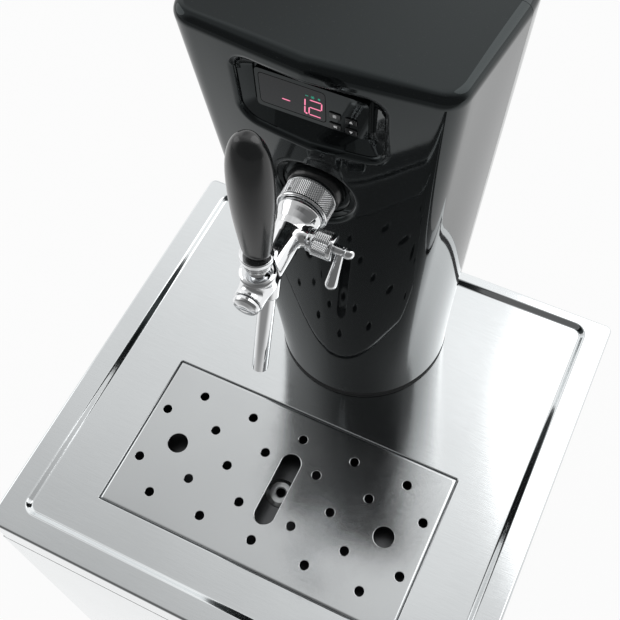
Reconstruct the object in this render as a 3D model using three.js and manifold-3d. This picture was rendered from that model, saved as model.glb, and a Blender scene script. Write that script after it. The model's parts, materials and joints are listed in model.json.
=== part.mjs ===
// Counter-top dispenser for a five litre keg: a cooled cabinet with a front door, a pressed steel
// worktop with a drip tray, and a flared tower that carries a thermostat and a chrome beer tap.
// Millimetres, +Z up. The front faces -Y. The origin is on the floor, under the middle of the worktop.
import * as THREE from "three";
import { mergeVertices } from "three/addons/utils/BufferGeometryUtils.js";
import Module from "manifold-3d";

const wasm = await Module();
wasm.setup();

// Driving dimensions

const fit = { seat: 0.3, run: 0.5, overrun: 3, weld: 1e-4 }; // seated gap, running gap, length added to cuts
const fullTurn = 2 * Math.PI;
const halfTurn = Math.PI;
const quarterTurn = Math.PI / 2;
const degree = Math.PI / 180;

const deck = {
  width: 426, depth: 404, height: 440, sheet: 1.5, rimWidth: 23, rimBack: 12, rimRise: 4, skirt: 36,
  cornerRadius: 6, fieldRadius: 10, cornerSteps: 3,
};
const lid = {
  width: 274, depth: 146, thick: 1.5, gap: 0.6, y: -69, pitch: 25, smallRadius: 4, largeRadius: 9,
  slotWidth: 17.5, slotLength: 68, smallSides: 8, largeSides: 16, slotSides: 6,
};
const pan = { sheet: 1, depth: 20, ledge: 8, flange: 8, cornerRadius: 8, drainBack: 3 };
const drain = {
  ringRadius: 13, ringRise: 3, bore: 4, stemRadius: 8, stemDrop: 14, elbowRadius: 6.5, elbowReach: 12,
  pipeRadius: 5.5, pipeBore: 4, pipeX: 70, bend: 32, sides: 16, pipeSides: 8, steps: 14,
};
const frame = { wall: 2, flange: 10 };
const cabinet = {
  inset: 1, front: -156, back: 194, shell: 1, topGap: 2, lip: 12, footHeight: 20, liner: 2,
  sideWall: 34, floorZ: 50, ceilingWall: 32, lowerBack: 45, upperBack: 160, stepZ: 215,
};
const bay = { sideWall: 22, front: 75, top: 195 };
const foot = { radius: 16, topRadius: 13, sideInset: 47, frontY: -130, backY: 165, sides: 16 };
const door = {
  front: -202, thick: 42, topGap: 3, bottom: 23, skin: 1.2, linerStep: 2, linerInset: 14,
  gasketWidth: 12, gasketThick: 3.4, gripHeight: 110, gripWidth: 22, gripDepth: 16, gripWall: 1.5,
  gripInset: 10,
};
const hinge = {
  inset: 8, pinRadius: 4, pinLength: 12, plate: 3, reachIn: 16, leg: 16, tail: 40, sides: 16,
};
const grille = {
  sideInset: 42, height: 150, thick: 1.5, bottom: 32, slots: 9, slotWidth: 130, slotHeight: 5, slotInset: 95,
};
const inlet = {
  sideInset: 60, z: 62, flangeWidth: 50, flangeLow: 14, flangeHigh: 46, flangeThick: 2.4, bodyInset: 3,
  bodyDepth: 26,
  socketWidth: 25, socketHeight: 16, socketDepth: 20, pinWidth: 2, pinHeight: 4, pinLength: 16, pinSpread: 7,
};
const rocker = { rise: 29, width: 14, height: 22, depth: 9, room: 1, tilt: 7 };
const compressor = {
  xShare: 10 / 19, y: 134, radius: 48, height: 108, baseWidth: 120, baseDepth: 84, baseThick: 4, seam: 3,
  sides: 20, neck: 8,
  domeShare: 0.72,
};
const condenser = {
  xShare: 8 / 19, y: 155, z: 96, width: 120, depth: 26, height: 120, fins: 9, finThick: 3, core: 12,
};
const fan = {
  size: 110, depth: 24, bore: 50, hubRadius: 15, hubDepth: 10, blades: 5, bladeThick: 1.8,
  bladeWidth: 17, pitch: 35,
  back: 5, strut: 6, standOff: 3, sides: 20, cornerRadius: 6, tipGap: 2,
};
const evaporator = { sideRoom: 51, lowRoom: 22, highRoom: 21, thick: 5, ribs: 5, ribRise: 3, ribWidth: 8 };
const keg = {
  roomShare: 1 / 6, y: -50, radius: 86, headroom: 68.7, wall: 1, rimHeight: 8, rimInset: 4, dome: 10, bung: 14, sides: 28,
};
const coupler = {
  radius: 20, height: 40, flangeRadius: 24, flangeThick: 8, portRadius: 6, portReach: 30, portZ: 22,
  sides: 20,
  spigot: 6,
};
const spear = { radius: 5, bore: 3.5, floorGap: 12, sides: 12 };
const gas = {
  roomShare: 0.4, y: -60, radius: 30, belowKeg: 57, shoulder: 30, neck: 11, neckRise: 14, sides: 20,
  bodyRadius: 16, bodyHeight: 30, knobRadius: 13, knobLength: 20, knobGap: 1, portReach: 26, portRadius: 5,
  lineRadius: 3.5, lineSides: 6, lineSteps: 14, lineRise: 24,
};
const line = { radius: 4.75, sides: 8, steps: 36 };
const tower = {
  rearInset: 89, height: 425, wall: 3, footRadius: 76.5, headFront: 92, headCornerX: 88.5, headCornerY: 84,
  headSide: 98, headRear: 84, cornerBlend: 14, bendHeight: 20, bendSoftness: 65, topRadius: 8,
  ringRise: 4, ringWidth: 8, levels: 7, cavityLevels: 4, frontSteps: 3, cornerSteps: 3, sideSteps: 2,
  rearSteps: 5,
  rearPower: 2.6,
};
const duct = {
  radius: 25, wall: 2, plateRadius: 67, plateThick: 3, rise: 240, sides: 20, boltRadius: 55, bolt: 3.2,
};
const recess = {
  drop: 42, width: 92, height: 52, radius: 11, floorY: -77.7, floorDrop: 40, floorWidth: 76, floorHeight: 35,
  floorRadius: 5, steps: 4,
};
const dish = { radius: 27, floorRadius: 24, floorY: -79.3, drop: 118, sides: 24 };
const thermostat = {
  width: 71, height: 30.5, thick: 4, caseWidth: 66, caseHeight: 25, caseDepth: 50, windowX: -12,
  windowWidth: 42,
  windowHeight: 24, windowThick: 1.5, cornerRadius: 2.5, back: 2.2,
};
const key = {
  width: 7, height: 4.6, proud: 0.8, thick: 2.4, leftX: 15, rightX: 25.2, leftUpZ: -3, leftLowZ: -11.6,
  radius: 1,
  rightUpZ: -3.4, rightLowZ: -11.8,
};
const shank = {
  radius: 11, bore: 4, front: 12, tail: 45, flangeRadius: 20, flangeThick: 8, nutFlats: 30, nutThick: 8,
};
const nut = {
  radius: 17.5, back: 8.6, front: 24, cavity: 14.5, lip: 2.4, hole: 11.9, sides: 24, chamfer: 0.8,
};
const barrel = {
  tailRadius: 14, tailThick: 3, neckRadius: 11.4, shoulderRadius: 15, shoulderLength: 7, waist: 42,
  radius: 10.2,
  noseRadius: 9.4, front: 96, bore: 4.4, seatBore: 3.4, seatBack: 52, pistonBore: 5.2, pistonBack: 57,
  sides: 20,
};
const keel = { width: 10, back: 36, backDrop: 10, lowY: 60, lowZ: 17, front: 76, frontZ: 15 };
const branch = { y: 39.7, radius: 6.2, reach: 16.6, bore: 3.7, collar: 7.6, collarThick: 3, sides: 16 };
const sleeve = { radius: 9, length: 14, chamfer: 0.8, bore: 3.7, sides: 28 };
const spindle = {
  radius: 3.4, back: 5.2, reach: 37, ballRadius: 3.8, ballX: 40, leverX: 35, leverLength: 22,
  leverRadius: 2.4,
  leverTip: 3.9, leverAngle: 43, sides: 12, tipSteps: 3,
};
const spout = {
  y: 65.3, tilt: 19.75, tip: 90.3, radius: 5.5, bore: 4, start: 12, socketRadius: 7.3, socketEnd: 25,
  sides: 20,
};
const pivot = {
  y: 80.7, z: 9, ballRadius: 7.4, bossRadius: 11, bossTop: 11, ringTop: 14, ringRadius: 11.6, sides: 16,
};
const lever = {
  lean: 4.5, neckRadius: 3.2, ferruleStart: 10, ferruleEnd: 21, ferruleLow: 9.4, ferruleTop: 12,
  ferruleLip: 3,
  fingerRadius: 2.2, fingerLength: 10.6, fingerSwing: 7, studRadius: 3.5, studLength: 14,
};
const piston = {
  radius: 4.7, front: 91, back: 73.5, notch: 24, notchZ: 1, slot: 7.2, slotWidth: 5.6, slotFloor: -2.4,
  stemRadius: 1.8, plugRadius: 3.1, plugFront: 53.5, plugBack: 49,
};
const knob = {
  length: 96, halfWidth: 14.5, halfDepth: 11, baseShare: 0.58, steps: 8, sides: 16, widestShare: 0.6,
};
const cap = { radius: 8.6, length: 5, stem: 4.6, stemLength: 1.6, slotWidth: 2.4, slotDepth: 1.5, sides: 28 };

// Materials

function finish(color, roughness, metalness) {
  return new THREE.MeshStandardMaterial({ color, roughness, metalness });
}
const polishedSteel = finish(0xd5d9da, 0.12, 1);
const satinSteel = finish(0xc2c7c9, 0.32, 1);
const chrome = finish(0xeceff0, 0.05, 1);
const knurledChrome = finish(0xb9bebf, 0.3, 1);
const glossBlack = finish(0x0b0c0d, 0.06, 0);
const softBlack = finish(0x1a1c1d, 0.3, 0);
const rubber = finish(0x151515, 0.85, 0);
const smokedGlass = finish(0x120c0e, 0.08, 0);
const whitePlastic = finish(0xe8eaea, 0.4, 0);
const foamYellow = finish(0xd9cfa6, 0.9, 0);
const paintedSteel = finish(0xdadddd, 0.35, 0.2);
const copper = finish(0xb87350, 0.35, 1);
const clearHose = finish(0xd8dcd6, 0.3, 0);

// Solid helpers: each takes and returns a position-only BufferGeometry

function solidOf(geometry) {
  const plain = new THREE.BufferGeometry();
  plain.setAttribute("position", geometry.getAttribute("position"));
  if (geometry.index) plain.setIndex(geometry.index);
  const merged = mergeVertices(plain, fit.weld);
  const source = merged.index.array;
  const triangles = [];
  for (let i = 0; i < source.length; i += 3) {
    const [a, b, c] = [source[i], source[i + 1], source[i + 2]];
    if (a !== b && b !== c && c !== a) triangles.push(a, b, c);
  }
  const vertProperties = merged.attributes.position.array;
  if (signedVolume(vertProperties, triangles) < 0) triangles.reverse();
  return new wasm.Manifold(new wasm.Mesh({
    numProp: 3, vertProperties, triVerts: new Uint32Array(triangles),
  }));
}

function signedVolume(positions, triangles) {
  let sum = 0;
  const corner = [0, 1, 2].map(() => new THREE.Vector3());
  for (let i = 0; i < triangles.length; i += 3) {
    corner.forEach((v, k) => v.fromArray(positions, 3 * triangles[i + k]));
    sum += corner[0].dot(corner[1].clone().cross(corner[2]));
  }
  return sum;
}

function geometryOf(solid) {
  const { numProp, numVert, vertProperties, triVerts } = solid.getMesh();
  const positions = new Float32Array(3 * numVert);
  for (let i = 0; i < numVert; i++) {
    positions.set(vertProperties.subarray(i * numProp, i * numProp + 3), 3 * i);
  }
  const geometry = new THREE.BufferGeometry();
  geometry.setAttribute("position", new THREE.BufferAttribute(positions, 3));
  geometry.setIndex(new THREE.BufferAttribute(new Uint32Array(triVerts), 1));
  return geometry;
}

function join(first, ...others) {
  return geometryOf(others.reduce((sum, other) => sum.add(solidOf(other)), solidOf(first)));
}

function cut(first, ...tools) {
  return geometryOf(tools.reduce((rest, tool) => rest.subtract(solidOf(tool)), solidOf(first)));
}

function common(first, second) {
  return geometryOf(solidOf(first).intersect(solidOf(second)));
}

// A box between two corners.
function block([x0, y0, z0], [x1, y1, z1]) {
  const box = new THREE.BoxGeometry(x1 - x0, y1 - y0, z1 - z0);
  return box.translate((x0 + x1) / 2, (y0 + y1) / 2, (z0 + z1) / 2);
}

// A profile of [radius, height] points turned round the Z axis; it is closed on itself or on the axis.
function turned(profile, sides) {
  const points = profile.map(([r, z]) => new THREE.Vector2(r, z));
  const [first, last] = [profile[0], profile[profile.length - 1]];
  if (first[0] > 0 || last[0] > 0) points.push(points[0].clone());
  return new THREE.LatheGeometry(points, sides).rotateX(quarterTurn);
}

function rod(radius, z0, z1, sides) {
  return turned([[0, z0], [radius, z0], [radius, z1], [0, z1]], sides);
}

function pipeRing(outer, inner, z0, z1, sides) {
  return turned([[inner, z0], [outer, z0], [outer, z1], [inner, z1]], sides);
}

// Lays a Z-axis geometry along the front-to-back axis, so that its +Z end points to the front.
function facingFront(geometry) {
  return geometry.rotateX(quarterTurn);
}

// Lays a Z-axis geometry along +X.
function facingRight(geometry) {
  return geometry.rotateY(quarterTurn);
}

function prism(outline, height, holes = []) {
  const shape = new THREE.Shape(outline.map(([x, y]) => new THREE.Vector2(x, y)));
  shape.holes = holes.map((hole) => new THREE.Path(hole.map(([x, y]) => new THREE.Vector2(x, y))));
  return new THREE.ExtrudeGeometry(shape, { depth: height, bevelEnabled: false });
}

function rectangle(width, depth, radius, steps) {
  const points = [];
  const corners = [[1, 1], [-1, 1], [-1, -1], [1, -1]];
  corners.forEach(([sx, sy], k) => {
    for (let i = 0; i <= steps; i++) {
      const angle = (k + i / steps) * quarterTurn;
      points.push([
        sx * (width / 2 - radius) + radius * Math.cos(angle),
        sy * (depth / 2 - radius) + radius * Math.sin(angle),
      ]);
    }
  });
  return points;
}

function polygon(x, y, radius, sides) {
  return Array.from({ length: sides }, (_, i) => {
    const angle = (fullTurn * (i + 0.5)) / sides;
    return [x + radius * Math.cos(angle), y + radius * Math.sin(angle)];
  });
}

// A rounded plate between two heights, centred on [x, y].
function plate(width, depth, radius, z0, z1, x = 0, y = 0) {
  return prism(rectangle(width, depth, radius, deck.cornerSteps), z1 - z0).translate(x, y, z0);
}

// Skins a stack of closed rings of [x, y, z] points and closes both ends on their middles.
function loft(rings) {
  const count = rings[0].length;
  const positions = rings.flat(2);
  const index = [];
  for (let k = 0; k + 1 < rings.length; k++) {
    for (let i = 0; i < count; i++) {
      const [a, b] = [k * count + i, k * count + ((i + 1) % count)];
      index.push(a, b, b + count, a, b + count, a + count);
    }
  }
  [rings[0], rings[rings.length - 1]].forEach((ring, end) => {
    const middle = positions.length / 3;
    const base = end ? (rings.length - 1) * count : 0;
    [0, 1, 2].forEach((axis) => positions.push(ring.reduce((sum, p) => sum + p[axis], 0) / count));
    for (let i = 0; i < count; i++) {
      const [a, b] = [base + i, base + ((i + 1) % count)];
      index.push(...(end ? [a, b, middle] : [b, a, middle]));
    }
  });
  const geometry = new THREE.BufferGeometry();
  geometry.setAttribute("position", new THREE.Float32BufferAttribute(positions, 3));
  geometry.setIndex(index);
  return geometry;
}

// A solid tube of round section along a smooth line through the points.
function tubeAlong(points, radius, sides, steps) {
  const path = new THREE.CatmullRomCurve3(points.map((p) => new THREE.Vector3(...p)), false, "centripetal");
  const section = new THREE.Shape(polygon(0, 0, radius, sides).map(([x, y]) => new THREE.Vector2(x, y)));
  return new THREE.ExtrudeGeometry(section, { steps, extrudePath: path, bevelEnabled: false });
}

function addPiece(group, name, geometry, material) {
  const mesh = new THREE.Mesh(geometry, material);
  mesh.name = name;
  group.add(mesh);
}

function groupAt(parent, x, y, z) {
  const group = new THREE.Group();
  group.position.set(x, y, z);
  parent.add(group);
  return group;
}

// Worktop: heights are measured from the sunk field

const towerY = deck.depth / 2 - tower.rearInset;
const openingWidth = lid.width + 2 * lid.gap;
const openingDepth = lid.depth + 2 * lid.gap;
const cabinetTop = deck.height - deck.skirt - cabinet.topGap;
const frameBottom = cabinetTop + fit.seat - deck.height;
const panTop = -deck.sheet - fit.seat;
const drainY = lid.y + pan.drainBack;
const pipeZ = panTop - pan.depth - drain.stemDrop / 2;

function worktop() {
  const { width, depth, sheet, rimWidth, rimBack, rimRise, skirt, cornerRadius, fieldRadius } = deck;
  const fieldWidth = width - 2 * rimWidth;
  const fieldDepth = depth - rimWidth - rimBack;
  const fieldY = (rimWidth - rimBack) / 2;
  const innerWidth = width - 2 * sheet;
  const innerDepth = depth - 2 * sheet;
  const innerRadius = cornerRadius - sheet;
  const rimPocket = cut(
    plate(innerWidth, innerDepth, innerRadius, -sheet - fit.overrun, rimRise - sheet),
    plate(fieldWidth + 2 * sheet, fieldDepth + 2 * sheet, fieldRadius + sheet, -skirt, rimRise, 0, fieldY),
  );
  return cut(
    plate(width, depth, cornerRadius, -skirt, rimRise),
    plate(fieldWidth, fieldDepth, fieldRadius, 0, rimRise + fit.overrun, 0, fieldY),
    plate(innerWidth, innerDepth, innerRadius, -skirt - fit.overrun, -sheet),
    rimPocket,
    block(
      [-openingWidth / 2, lid.y - openingDepth / 2, -sheet - fit.overrun],
      [openingWidth / 2, lid.y + openingDepth / 2, fit.overrun],
    ),
    rod(duct.radius + fit.run, -sheet - fit.overrun, fit.overrun, duct.sides).translate(0, towerY, 0),
    facingFront(rod(drain.pipeRadius + fit.run, 0, sheet + 2 * fit.overrun, drain.sides)).translate(
      drain.pipeX, depth / 2 + fit.overrun, pipeZ,
    ),
  );
}

function deckFrame() {
  const width = deck.width - 2 * deck.sheet - 2 * fit.seat;
  const frontY = cabinet.front + fit.seat;
  const backY = deck.depth / 2 - deck.sheet - fit.seat;
  const middleY = (frontY + backY) / 2;
  const ring = (inset, z0, z1) =>
    plate(width - 2 * inset, backY - frontY - 2 * inset, deck.cornerRadius, z0, z1, 0, middleY);
  const lowFlange = cut(
    ring(0, frameBottom, frameBottom + frame.wall),
    ring(frame.flange, frameBottom - fit.overrun, frameBottom + frame.wall + fit.overrun),
  );
  const walls = cut(ring(0, frameBottom, panTop), ring(frame.wall, frameBottom - fit.overrun, fit.overrun));
  const pipeHole = facingFront(rod(drain.pipeRadius + fit.run, 0, frame.wall + 2 * fit.overrun, drain.sides));
  return cut(join(walls, lowFlange), pipeHole.translate(drain.pipeX, backY + fit.overrun, pipeZ));
}

function dripLid() {
  const { pitch, smallRadius, largeRadius, smallSides, largeSides, slotWidth, slotLength, slotSides } = lid;
  const holes = [];
  for (let row = -2; row <= 2; row++) {
    const odd = Math.abs(row) % 2;
    for (let column = odd ? -5 : -4; column <= 5; column += 2) {
      const wide = row === 0 && Math.abs(column) === 4;
      const inSlot = row === 0 && column === 0;
      if (inSlot) continue;
      const [radius, sides] = wide ? [largeRadius, largeSides] : [smallRadius, smallSides];
      holes.push(polygon(column * pitch, row * pitch, radius, sides));
    }
  }
  holes.push(rectangle(slotWidth, slotLength, slotWidth / 2, slotSides));
  const edge = rectangle(lid.width, lid.depth, lid.thick, 1);
  return prism(edge, lid.thick, holes).translate(0, lid.y, -lid.thick);
}

function dripPan() {
  const basinWidth = lid.width - 2 * pan.ledge;
  const basinDepth = lid.depth - 2 * pan.ledge;
  const floorZ = panTop - pan.depth;
  const body = join(
    plate(
      openingWidth + 2 * pan.flange, openingDepth + 2 * pan.flange, pan.cornerRadius, panTop - pan.sheet,
      panTop,
    ),
    plate(
      basinWidth + 2 * pan.sheet, basinDepth + 2 * pan.sheet, pan.cornerRadius + pan.sheet, floorZ, panTop,
    ),
  );
  const basin = plate(basinWidth, basinDepth, pan.cornerRadius, floorZ + pan.sheet, panTop + fit.overrun);
  const hole = rod(drain.stemRadius + fit.seat, floorZ - fit.overrun, fit.overrun, drain.sides);
  return cut(body, basin, hole.translate(0, pan.drainBack, 0)).translate(0, lid.y, 0);
}

function drainFitting() {
  const floorZ = panTop - pan.depth + pan.sheet + fit.seat;
  const stemBottom = floorZ - drain.stemDrop - pan.sheet;
  const stem = turned(
    [[0, stemBottom], [drain.stemRadius, stemBottom], [drain.stemRadius, floorZ], [drain.ringRadius, floorZ],
      [drain.ringRadius, floorZ + drain.ringRise / 3], [drain.stemRadius, floorZ + drain.ringRise],
      [0, floorZ + drain.ringRise]],
    drain.sides,
  );
  const elbow = facingRight(rod(drain.elbowRadius, 0, drain.elbowReach, drain.sides)).translate(0, 0, pipeZ);
  const bores = [
    rod(drain.bore, pipeZ, floorZ + drain.ringRise + fit.overrun, drain.sides),
    facingRight(rod(drain.bore, 0, drain.elbowReach + fit.overrun, drain.sides)).translate(0, 0, pipeZ),
  ];
  return cut(join(stem, elbow), ...bores).translate(0, drainY, 0);
}

function drainPipe() {
  const startX = drain.elbowReach + fit.seat;
  const end = deck.depth / 2 - fit.seat;
  const route = [
    [startX, drainY, pipeZ], [drain.pipeX - drain.bend, drainY, pipeZ],
    [drain.pipeX, drainY + drain.bend, pipeZ], [drain.pipeX, (drainY + end) / 2, pipeZ],
    [drain.pipeX, end, pipeZ],
  ];
  const outer = tubeAlong(route, drain.pipeRadius, drain.pipeSides, drain.steps);
  const bore = facingFront(rod(drain.pipeBore, -fit.overrun, drain.bend, drain.pipeSides));
  return cut(outer, bore.translate(drain.pipeX, end, pipeZ));
}

function buildWorktop(root) {
  const group = groupAt(root, 0, 0, deck.height);
  addPiece(group, "worktop", worktop(), polishedSteel);
  addPiece(group, "deck_frame", deckFrame(), satinSteel);
  addPiece(group, "drip_lid", dripLid(), satinSteel);
  addPiece(group, "drip_pan", dripPan(), satinSteel);
  addPiece(group, "drain_fitting", drainFitting(), chrome);
  addPiece(group, "drain_pipe", drainPipe(), clearHose);
}

// Cabinet: heights are measured from the floor

const cabinetX = deck.width / 2 - cabinet.inset;
const bayFloor = cabinet.footHeight + cabinet.shell;
const linerX = cabinetX - cabinet.sideWall;
const ceilingZ = cabinetTop - cabinet.ceilingWall;
const chamberFloor = cabinet.floorZ + cabinet.liner;
const chamberCeiling = ceilingZ - cabinet.liner;
const bayX = cabinetX - bay.sideWall;
const compressorX = -bayX * compressor.xShare;
const condenserX = bayX * condenser.xShare;
const grilleWidth = 2 * (cabinetX - grille.sideInset);
const inletX = grilleWidth / 2 - inlet.sideInset;
const footX = cabinetX - foot.sideInset;

function cabinetShell() {
  const { front, back, shell, footHeight, lip } = cabinet;
  const grilleX = grilleWidth / 2 - lip;
  return cut(
    block([-cabinetX, front, footHeight], [cabinetX, back, cabinetTop]),
    block(
      [-cabinetX + shell, front + shell, footHeight + shell],
      [cabinetX - shell, back - shell, cabinetTop - shell],
    ),
    block(
      [-cabinetX + lip, front - fit.overrun, footHeight + lip],
      [cabinetX - lip, front + shell + fit.overrun, cabinetTop - lip],
    ),
    block([-grilleX, back - shell - fit.overrun, grille.bottom + lip],
      [grilleX, back + fit.overrun, grille.bottom + grille.height - lip]),
    rod(duct.radius + fit.run, cabinetTop - shell - fit.overrun, cabinetTop + fit.overrun, duct.sides)
      .translate(0, towerY, 0),
  );
}

// The stepped space inside the liner, grown outwards by a margin; it runs forward to frontY.
function chamberSpace(margin, frontY) {
  const { liner, floorZ, lowerBack, upperBack, stepZ } = cabinet;
  const grow = margin - liner;
  const x = linerX + grow;
  return join(
    block([-x, frontY, floorZ - grow], [x, lowerBack + grow, ceilingZ + grow]),
    block([-x, frontY, stepZ - grow], [x, upperBack + grow, ceilingZ + grow]),
  );
}

function insulation() {
  const { front, back, shell } = cabinet;
  const skin = shell + fit.seat;
  return cut(
    block(
      [-cabinetX + skin, front + skin, bayFloor + fit.seat],
      [cabinetX - skin, back - skin, cabinetTop - skin],
    ),
    chamberSpace(cabinet.liner + fit.seat, front - fit.overrun),
    block([-bayX, bay.front, bayFloor - fit.overrun], [bayX, back + fit.overrun, bay.top]),
    rod(duct.radius + fit.run, ceilingZ - fit.overrun, cabinetTop + fit.overrun, duct.sides)
      .translate(0, towerY, 0),
  );
}

function cabinetLiner() {
  const { front, shell, liner } = cabinet;
  const frontY = front + shell + fit.seat;
  return cut(
    chamberSpace(liner, frontY),
    chamberSpace(0, frontY - fit.overrun),
    rod(duct.radius + fit.run, chamberCeiling - fit.overrun, ceilingZ + fit.overrun, duct.sides)
      .translate(0, towerY, 0),
  );
}

function rubberFoot() {
  const top = cabinet.footHeight - fit.seat;
  return turned(
    [[0, 0], [foot.radius, 0], [foot.radius, top / 2], [foot.topRadius, top], [0, top]], foot.sides,
  );
}

function rearGrille() {
  const y0 = cabinet.back + fit.seat;
  const { height, thick, bottom, slots, slotWidth, slotHeight, slotInset } = grille;
  const width = grilleWidth;
  const slotX = slotInset - width / 2;
  const tools = [];
  const step = (height - 2 * cabinet.lip) / slots;
  for (let i = 0; i < slots; i++) {
    const z = bottom + cabinet.lip + (i + 0.5) * step;
    tools.push(block([slotX - slotWidth / 2, y0 - fit.overrun, z - slotHeight / 2],
      [slotX + slotWidth / 2, y0 + thick + fit.overrun, z + slotHeight / 2]));
  }
  const grow = fit.seat - inlet.bodyInset;
  tools.push(block(
    [inletX - inlet.flangeWidth / 2 - grow, y0 - fit.overrun, inlet.z - inlet.flangeLow - grow],
    [inletX + inlet.flangeWidth / 2 + grow, y0 + thick + fit.overrun, inlet.z + inlet.flangeHigh + grow],
  ));
  return cut(block([-width / 2, y0, bottom], [width / 2, y0 + thick, bottom + height]), ...tools);
}

const inletFace = cabinet.back + grille.thick + 2 * fit.seat;
const rockerY = inletFace;

// The power inlet and the switch share one moulded housing.
function powerInlet() {
  const { flangeWidth, flangeLow, flangeHigh, flangeThick, bodyInset, bodyDepth } = inlet;
  const { socketWidth, socketHeight, socketDepth, pinWidth, pinHeight, pinLength, pinSpread } = inlet;
  const slab = (inset, y0, y1) => block(
    [-flangeWidth / 2 + inset, y0, -flangeLow + inset], [flangeWidth / 2 - inset, y1, flangeHigh - inset],
  );
  const front = inletFace + flangeThick;
  const socketFloor = front - socketDepth;
  const socket = block([-socketWidth / 2, socketFloor, -socketHeight / 2],
    [socketWidth / 2, front + fit.overrun, socketHeight / 2]);
  const pinAt = (x, z) => block([x - pinWidth / 2, socketFloor - fit.seat, z - pinHeight / 2],
    [x + pinWidth / 2, socketFloor + pinLength, z + pinHeight / 2]);
  const pocket = block(
    [
      -rocker.width / 2 - rocker.room, rockerY - rocker.depth / 2 - 2 * rocker.room,
      rocker.rise - rocker.height / 2 - rocker.room,
    ],
    [rocker.width / 2 + rocker.room, front + fit.overrun, rocker.rise + rocker.height / 2 + rocker.room],
  );
  const housing = cut(
    join(slab(0, inletFace, front), slab(bodyInset, front - bodyDepth, inletFace + fit.seat)), socket,
    pocket,
  );
  return join(
    housing, pinAt(-pinSpread, 0), pinAt(pinSpread, 0), pinAt(0, pinHeight),
  ).translate(inletX, 0, inlet.z);
}

// The rocker is a shallow V seen from the side; its origin is on the line it tips about.
function switchRocker() {
  const { width, height, depth } = rocker;
  const side = [[-depth / 2, -height / 2], [depth / 4, -height / 2], [depth / 2, 0], [depth / 4, height / 2],
    [-depth / 2, height / 2]];
  const slab = prism(side, width).translate(0, 0, -width / 2);
  return slab.rotateX(quarterTurn).rotateZ(quarterTurn);
}

function compressorPot() {
  const { radius, height, seam, neck, domeShare, baseWidth, baseDepth, baseThick } = compressor;
  const base = bayFloor + fit.seat;
  const body = turned(
    [[0, 0], [radius * domeShare, 0], [radius, radius / 3], [radius, height / 2], [radius + seam, height / 2],
      [radius + seam, height / 2 + seam], [radius, height / 2 + seam], [radius, height - radius / 3],
      [radius * domeShare, height - neck], [radius / 3, height], [0, height]],
    compressor.sides,
  );
  const foot = block([-baseWidth / 2, -baseDepth / 2, 0], [baseWidth / 2, baseDepth / 2, baseThick]);
  return join(body, foot).translate(compressorX, compressor.y, base);
}

function condenserCore() {
  const { width, depth, height, fins, finThick, core } = condenser;
  const pieces = [block([-width / 2, -depth / 2, -core / 2], [width / 2, depth / 2, core / 2])];
  [-1, 1].forEach((side) => {
    const x = side * (width / 2 - core / 2);
    pieces.push(block([x - core / 2, -core / 2, -height / 2], [x + core / 2, core / 2, height / 2]));
  });
  for (let i = 0; i < fins; i++) {
    const z = -height / 2 + finThick / 2 + (i * (height - finThick)) / (fins - 1);
    pieces.push(block([-width / 2, -depth / 2, z - finThick / 2], [width / 2, depth / 2, z + finThick / 2]));
  }
  const standZ = bayFloor + fit.seat - condenser.z;
  pieces.push(block([-width / 2, -core / 2, standZ], [width / 2, core / 2, -height / 2 + finThick]));
  return join(...pieces).translate(condenserX, condenser.y, condenser.z);
}

const fanY = condenser.y - condenser.depth / 2 - fit.seat;

function fanHousing() {
  const { size, depth, bore, hubRadius, back, strut, sides, cornerRadius } = fan;
  const square = prism(rectangle(size, size, cornerRadius, deck.cornerSteps), depth);
  const opening = rod(bore, -fit.overrun, depth + fit.overrun, sides);
  const hub = rod(hubRadius, 0, back, sides);
  const bars = [0, 1].map((i) => block(
    [-bore - strut / 2, -strut / 2, 0], [bore + strut / 2, strut / 2, back],
  )
    .rotateZ(i * quarterTurn));
  const housing = join(cut(square, opening), hub, ...bars);
  const stand = block([-size / 2, -fit.overrun, 0], [size / 2, 0, depth]);
  const standDrop = condenser.z - size / 2 - bayFloor - fit.seat;
  const legs = stand.scale(1, standDrop / fit.overrun, 1).translate(0, -size / 2, 0);
  return facingFront(join(housing, legs)).translate(condenserX, fanY, condenser.z);
}

function fanRotor() {
  const { bore, hubRadius, hubDepth, blades, bladeThick, bladeWidth, pitch, back, tipGap, sides } = fan;
  const start = back + fit.run;
  const hub = rod(hubRadius, start, start + hubDepth, sides);
  const mid = start + hubDepth / 2;
  const reach = bore - tipGap;
  const fins = Array.from({ length: blades }, (_, i) => block(
    [hubRadius / 2, -bladeThick / 2, -bladeWidth / 2], [reach, bladeThick / 2, bladeWidth / 2],
  ).rotateX(pitch * degree).translate(0, 0, mid + fan.standOff).rotateZ((i * fullTurn) / blades));
  const trimmed = common(join(hub, ...fins), rod(reach, start, fan.depth - fit.run, sides));
  return facingFront(trimmed).translate(condenserX, fanY, condenser.z);
}

function evaporatorPlate() {
  const back = cabinet.upperBack - cabinet.liner - fit.seat;
  const { sideRoom, lowRoom, highRoom, thick, ribs, ribRise, ribWidth } = evaporator;
  const width = 2 * (linerX - cabinet.liner - sideRoom);
  const height = chamberCeiling - highRoom - cabinet.stepZ - lowRoom;
  const z = cabinet.stepZ + lowRoom + height / 2;
  const pieces = [block([-width / 2, back - thick, z - height / 2], [width / 2, back, z + height / 2])];
  for (let i = 0; i < ribs; i++) {
    const ribZ = z - height / 2 + ((i + 0.5) * height) / ribs;
    pieces.push(block([-width / 2 + ribWidth, back - thick - ribRise, ribZ - ribWidth / 2],
      [width / 2 - ribWidth, back - thick / 2, ribZ + ribWidth / 2]));
  }
  return join(...pieces);
}

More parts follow.
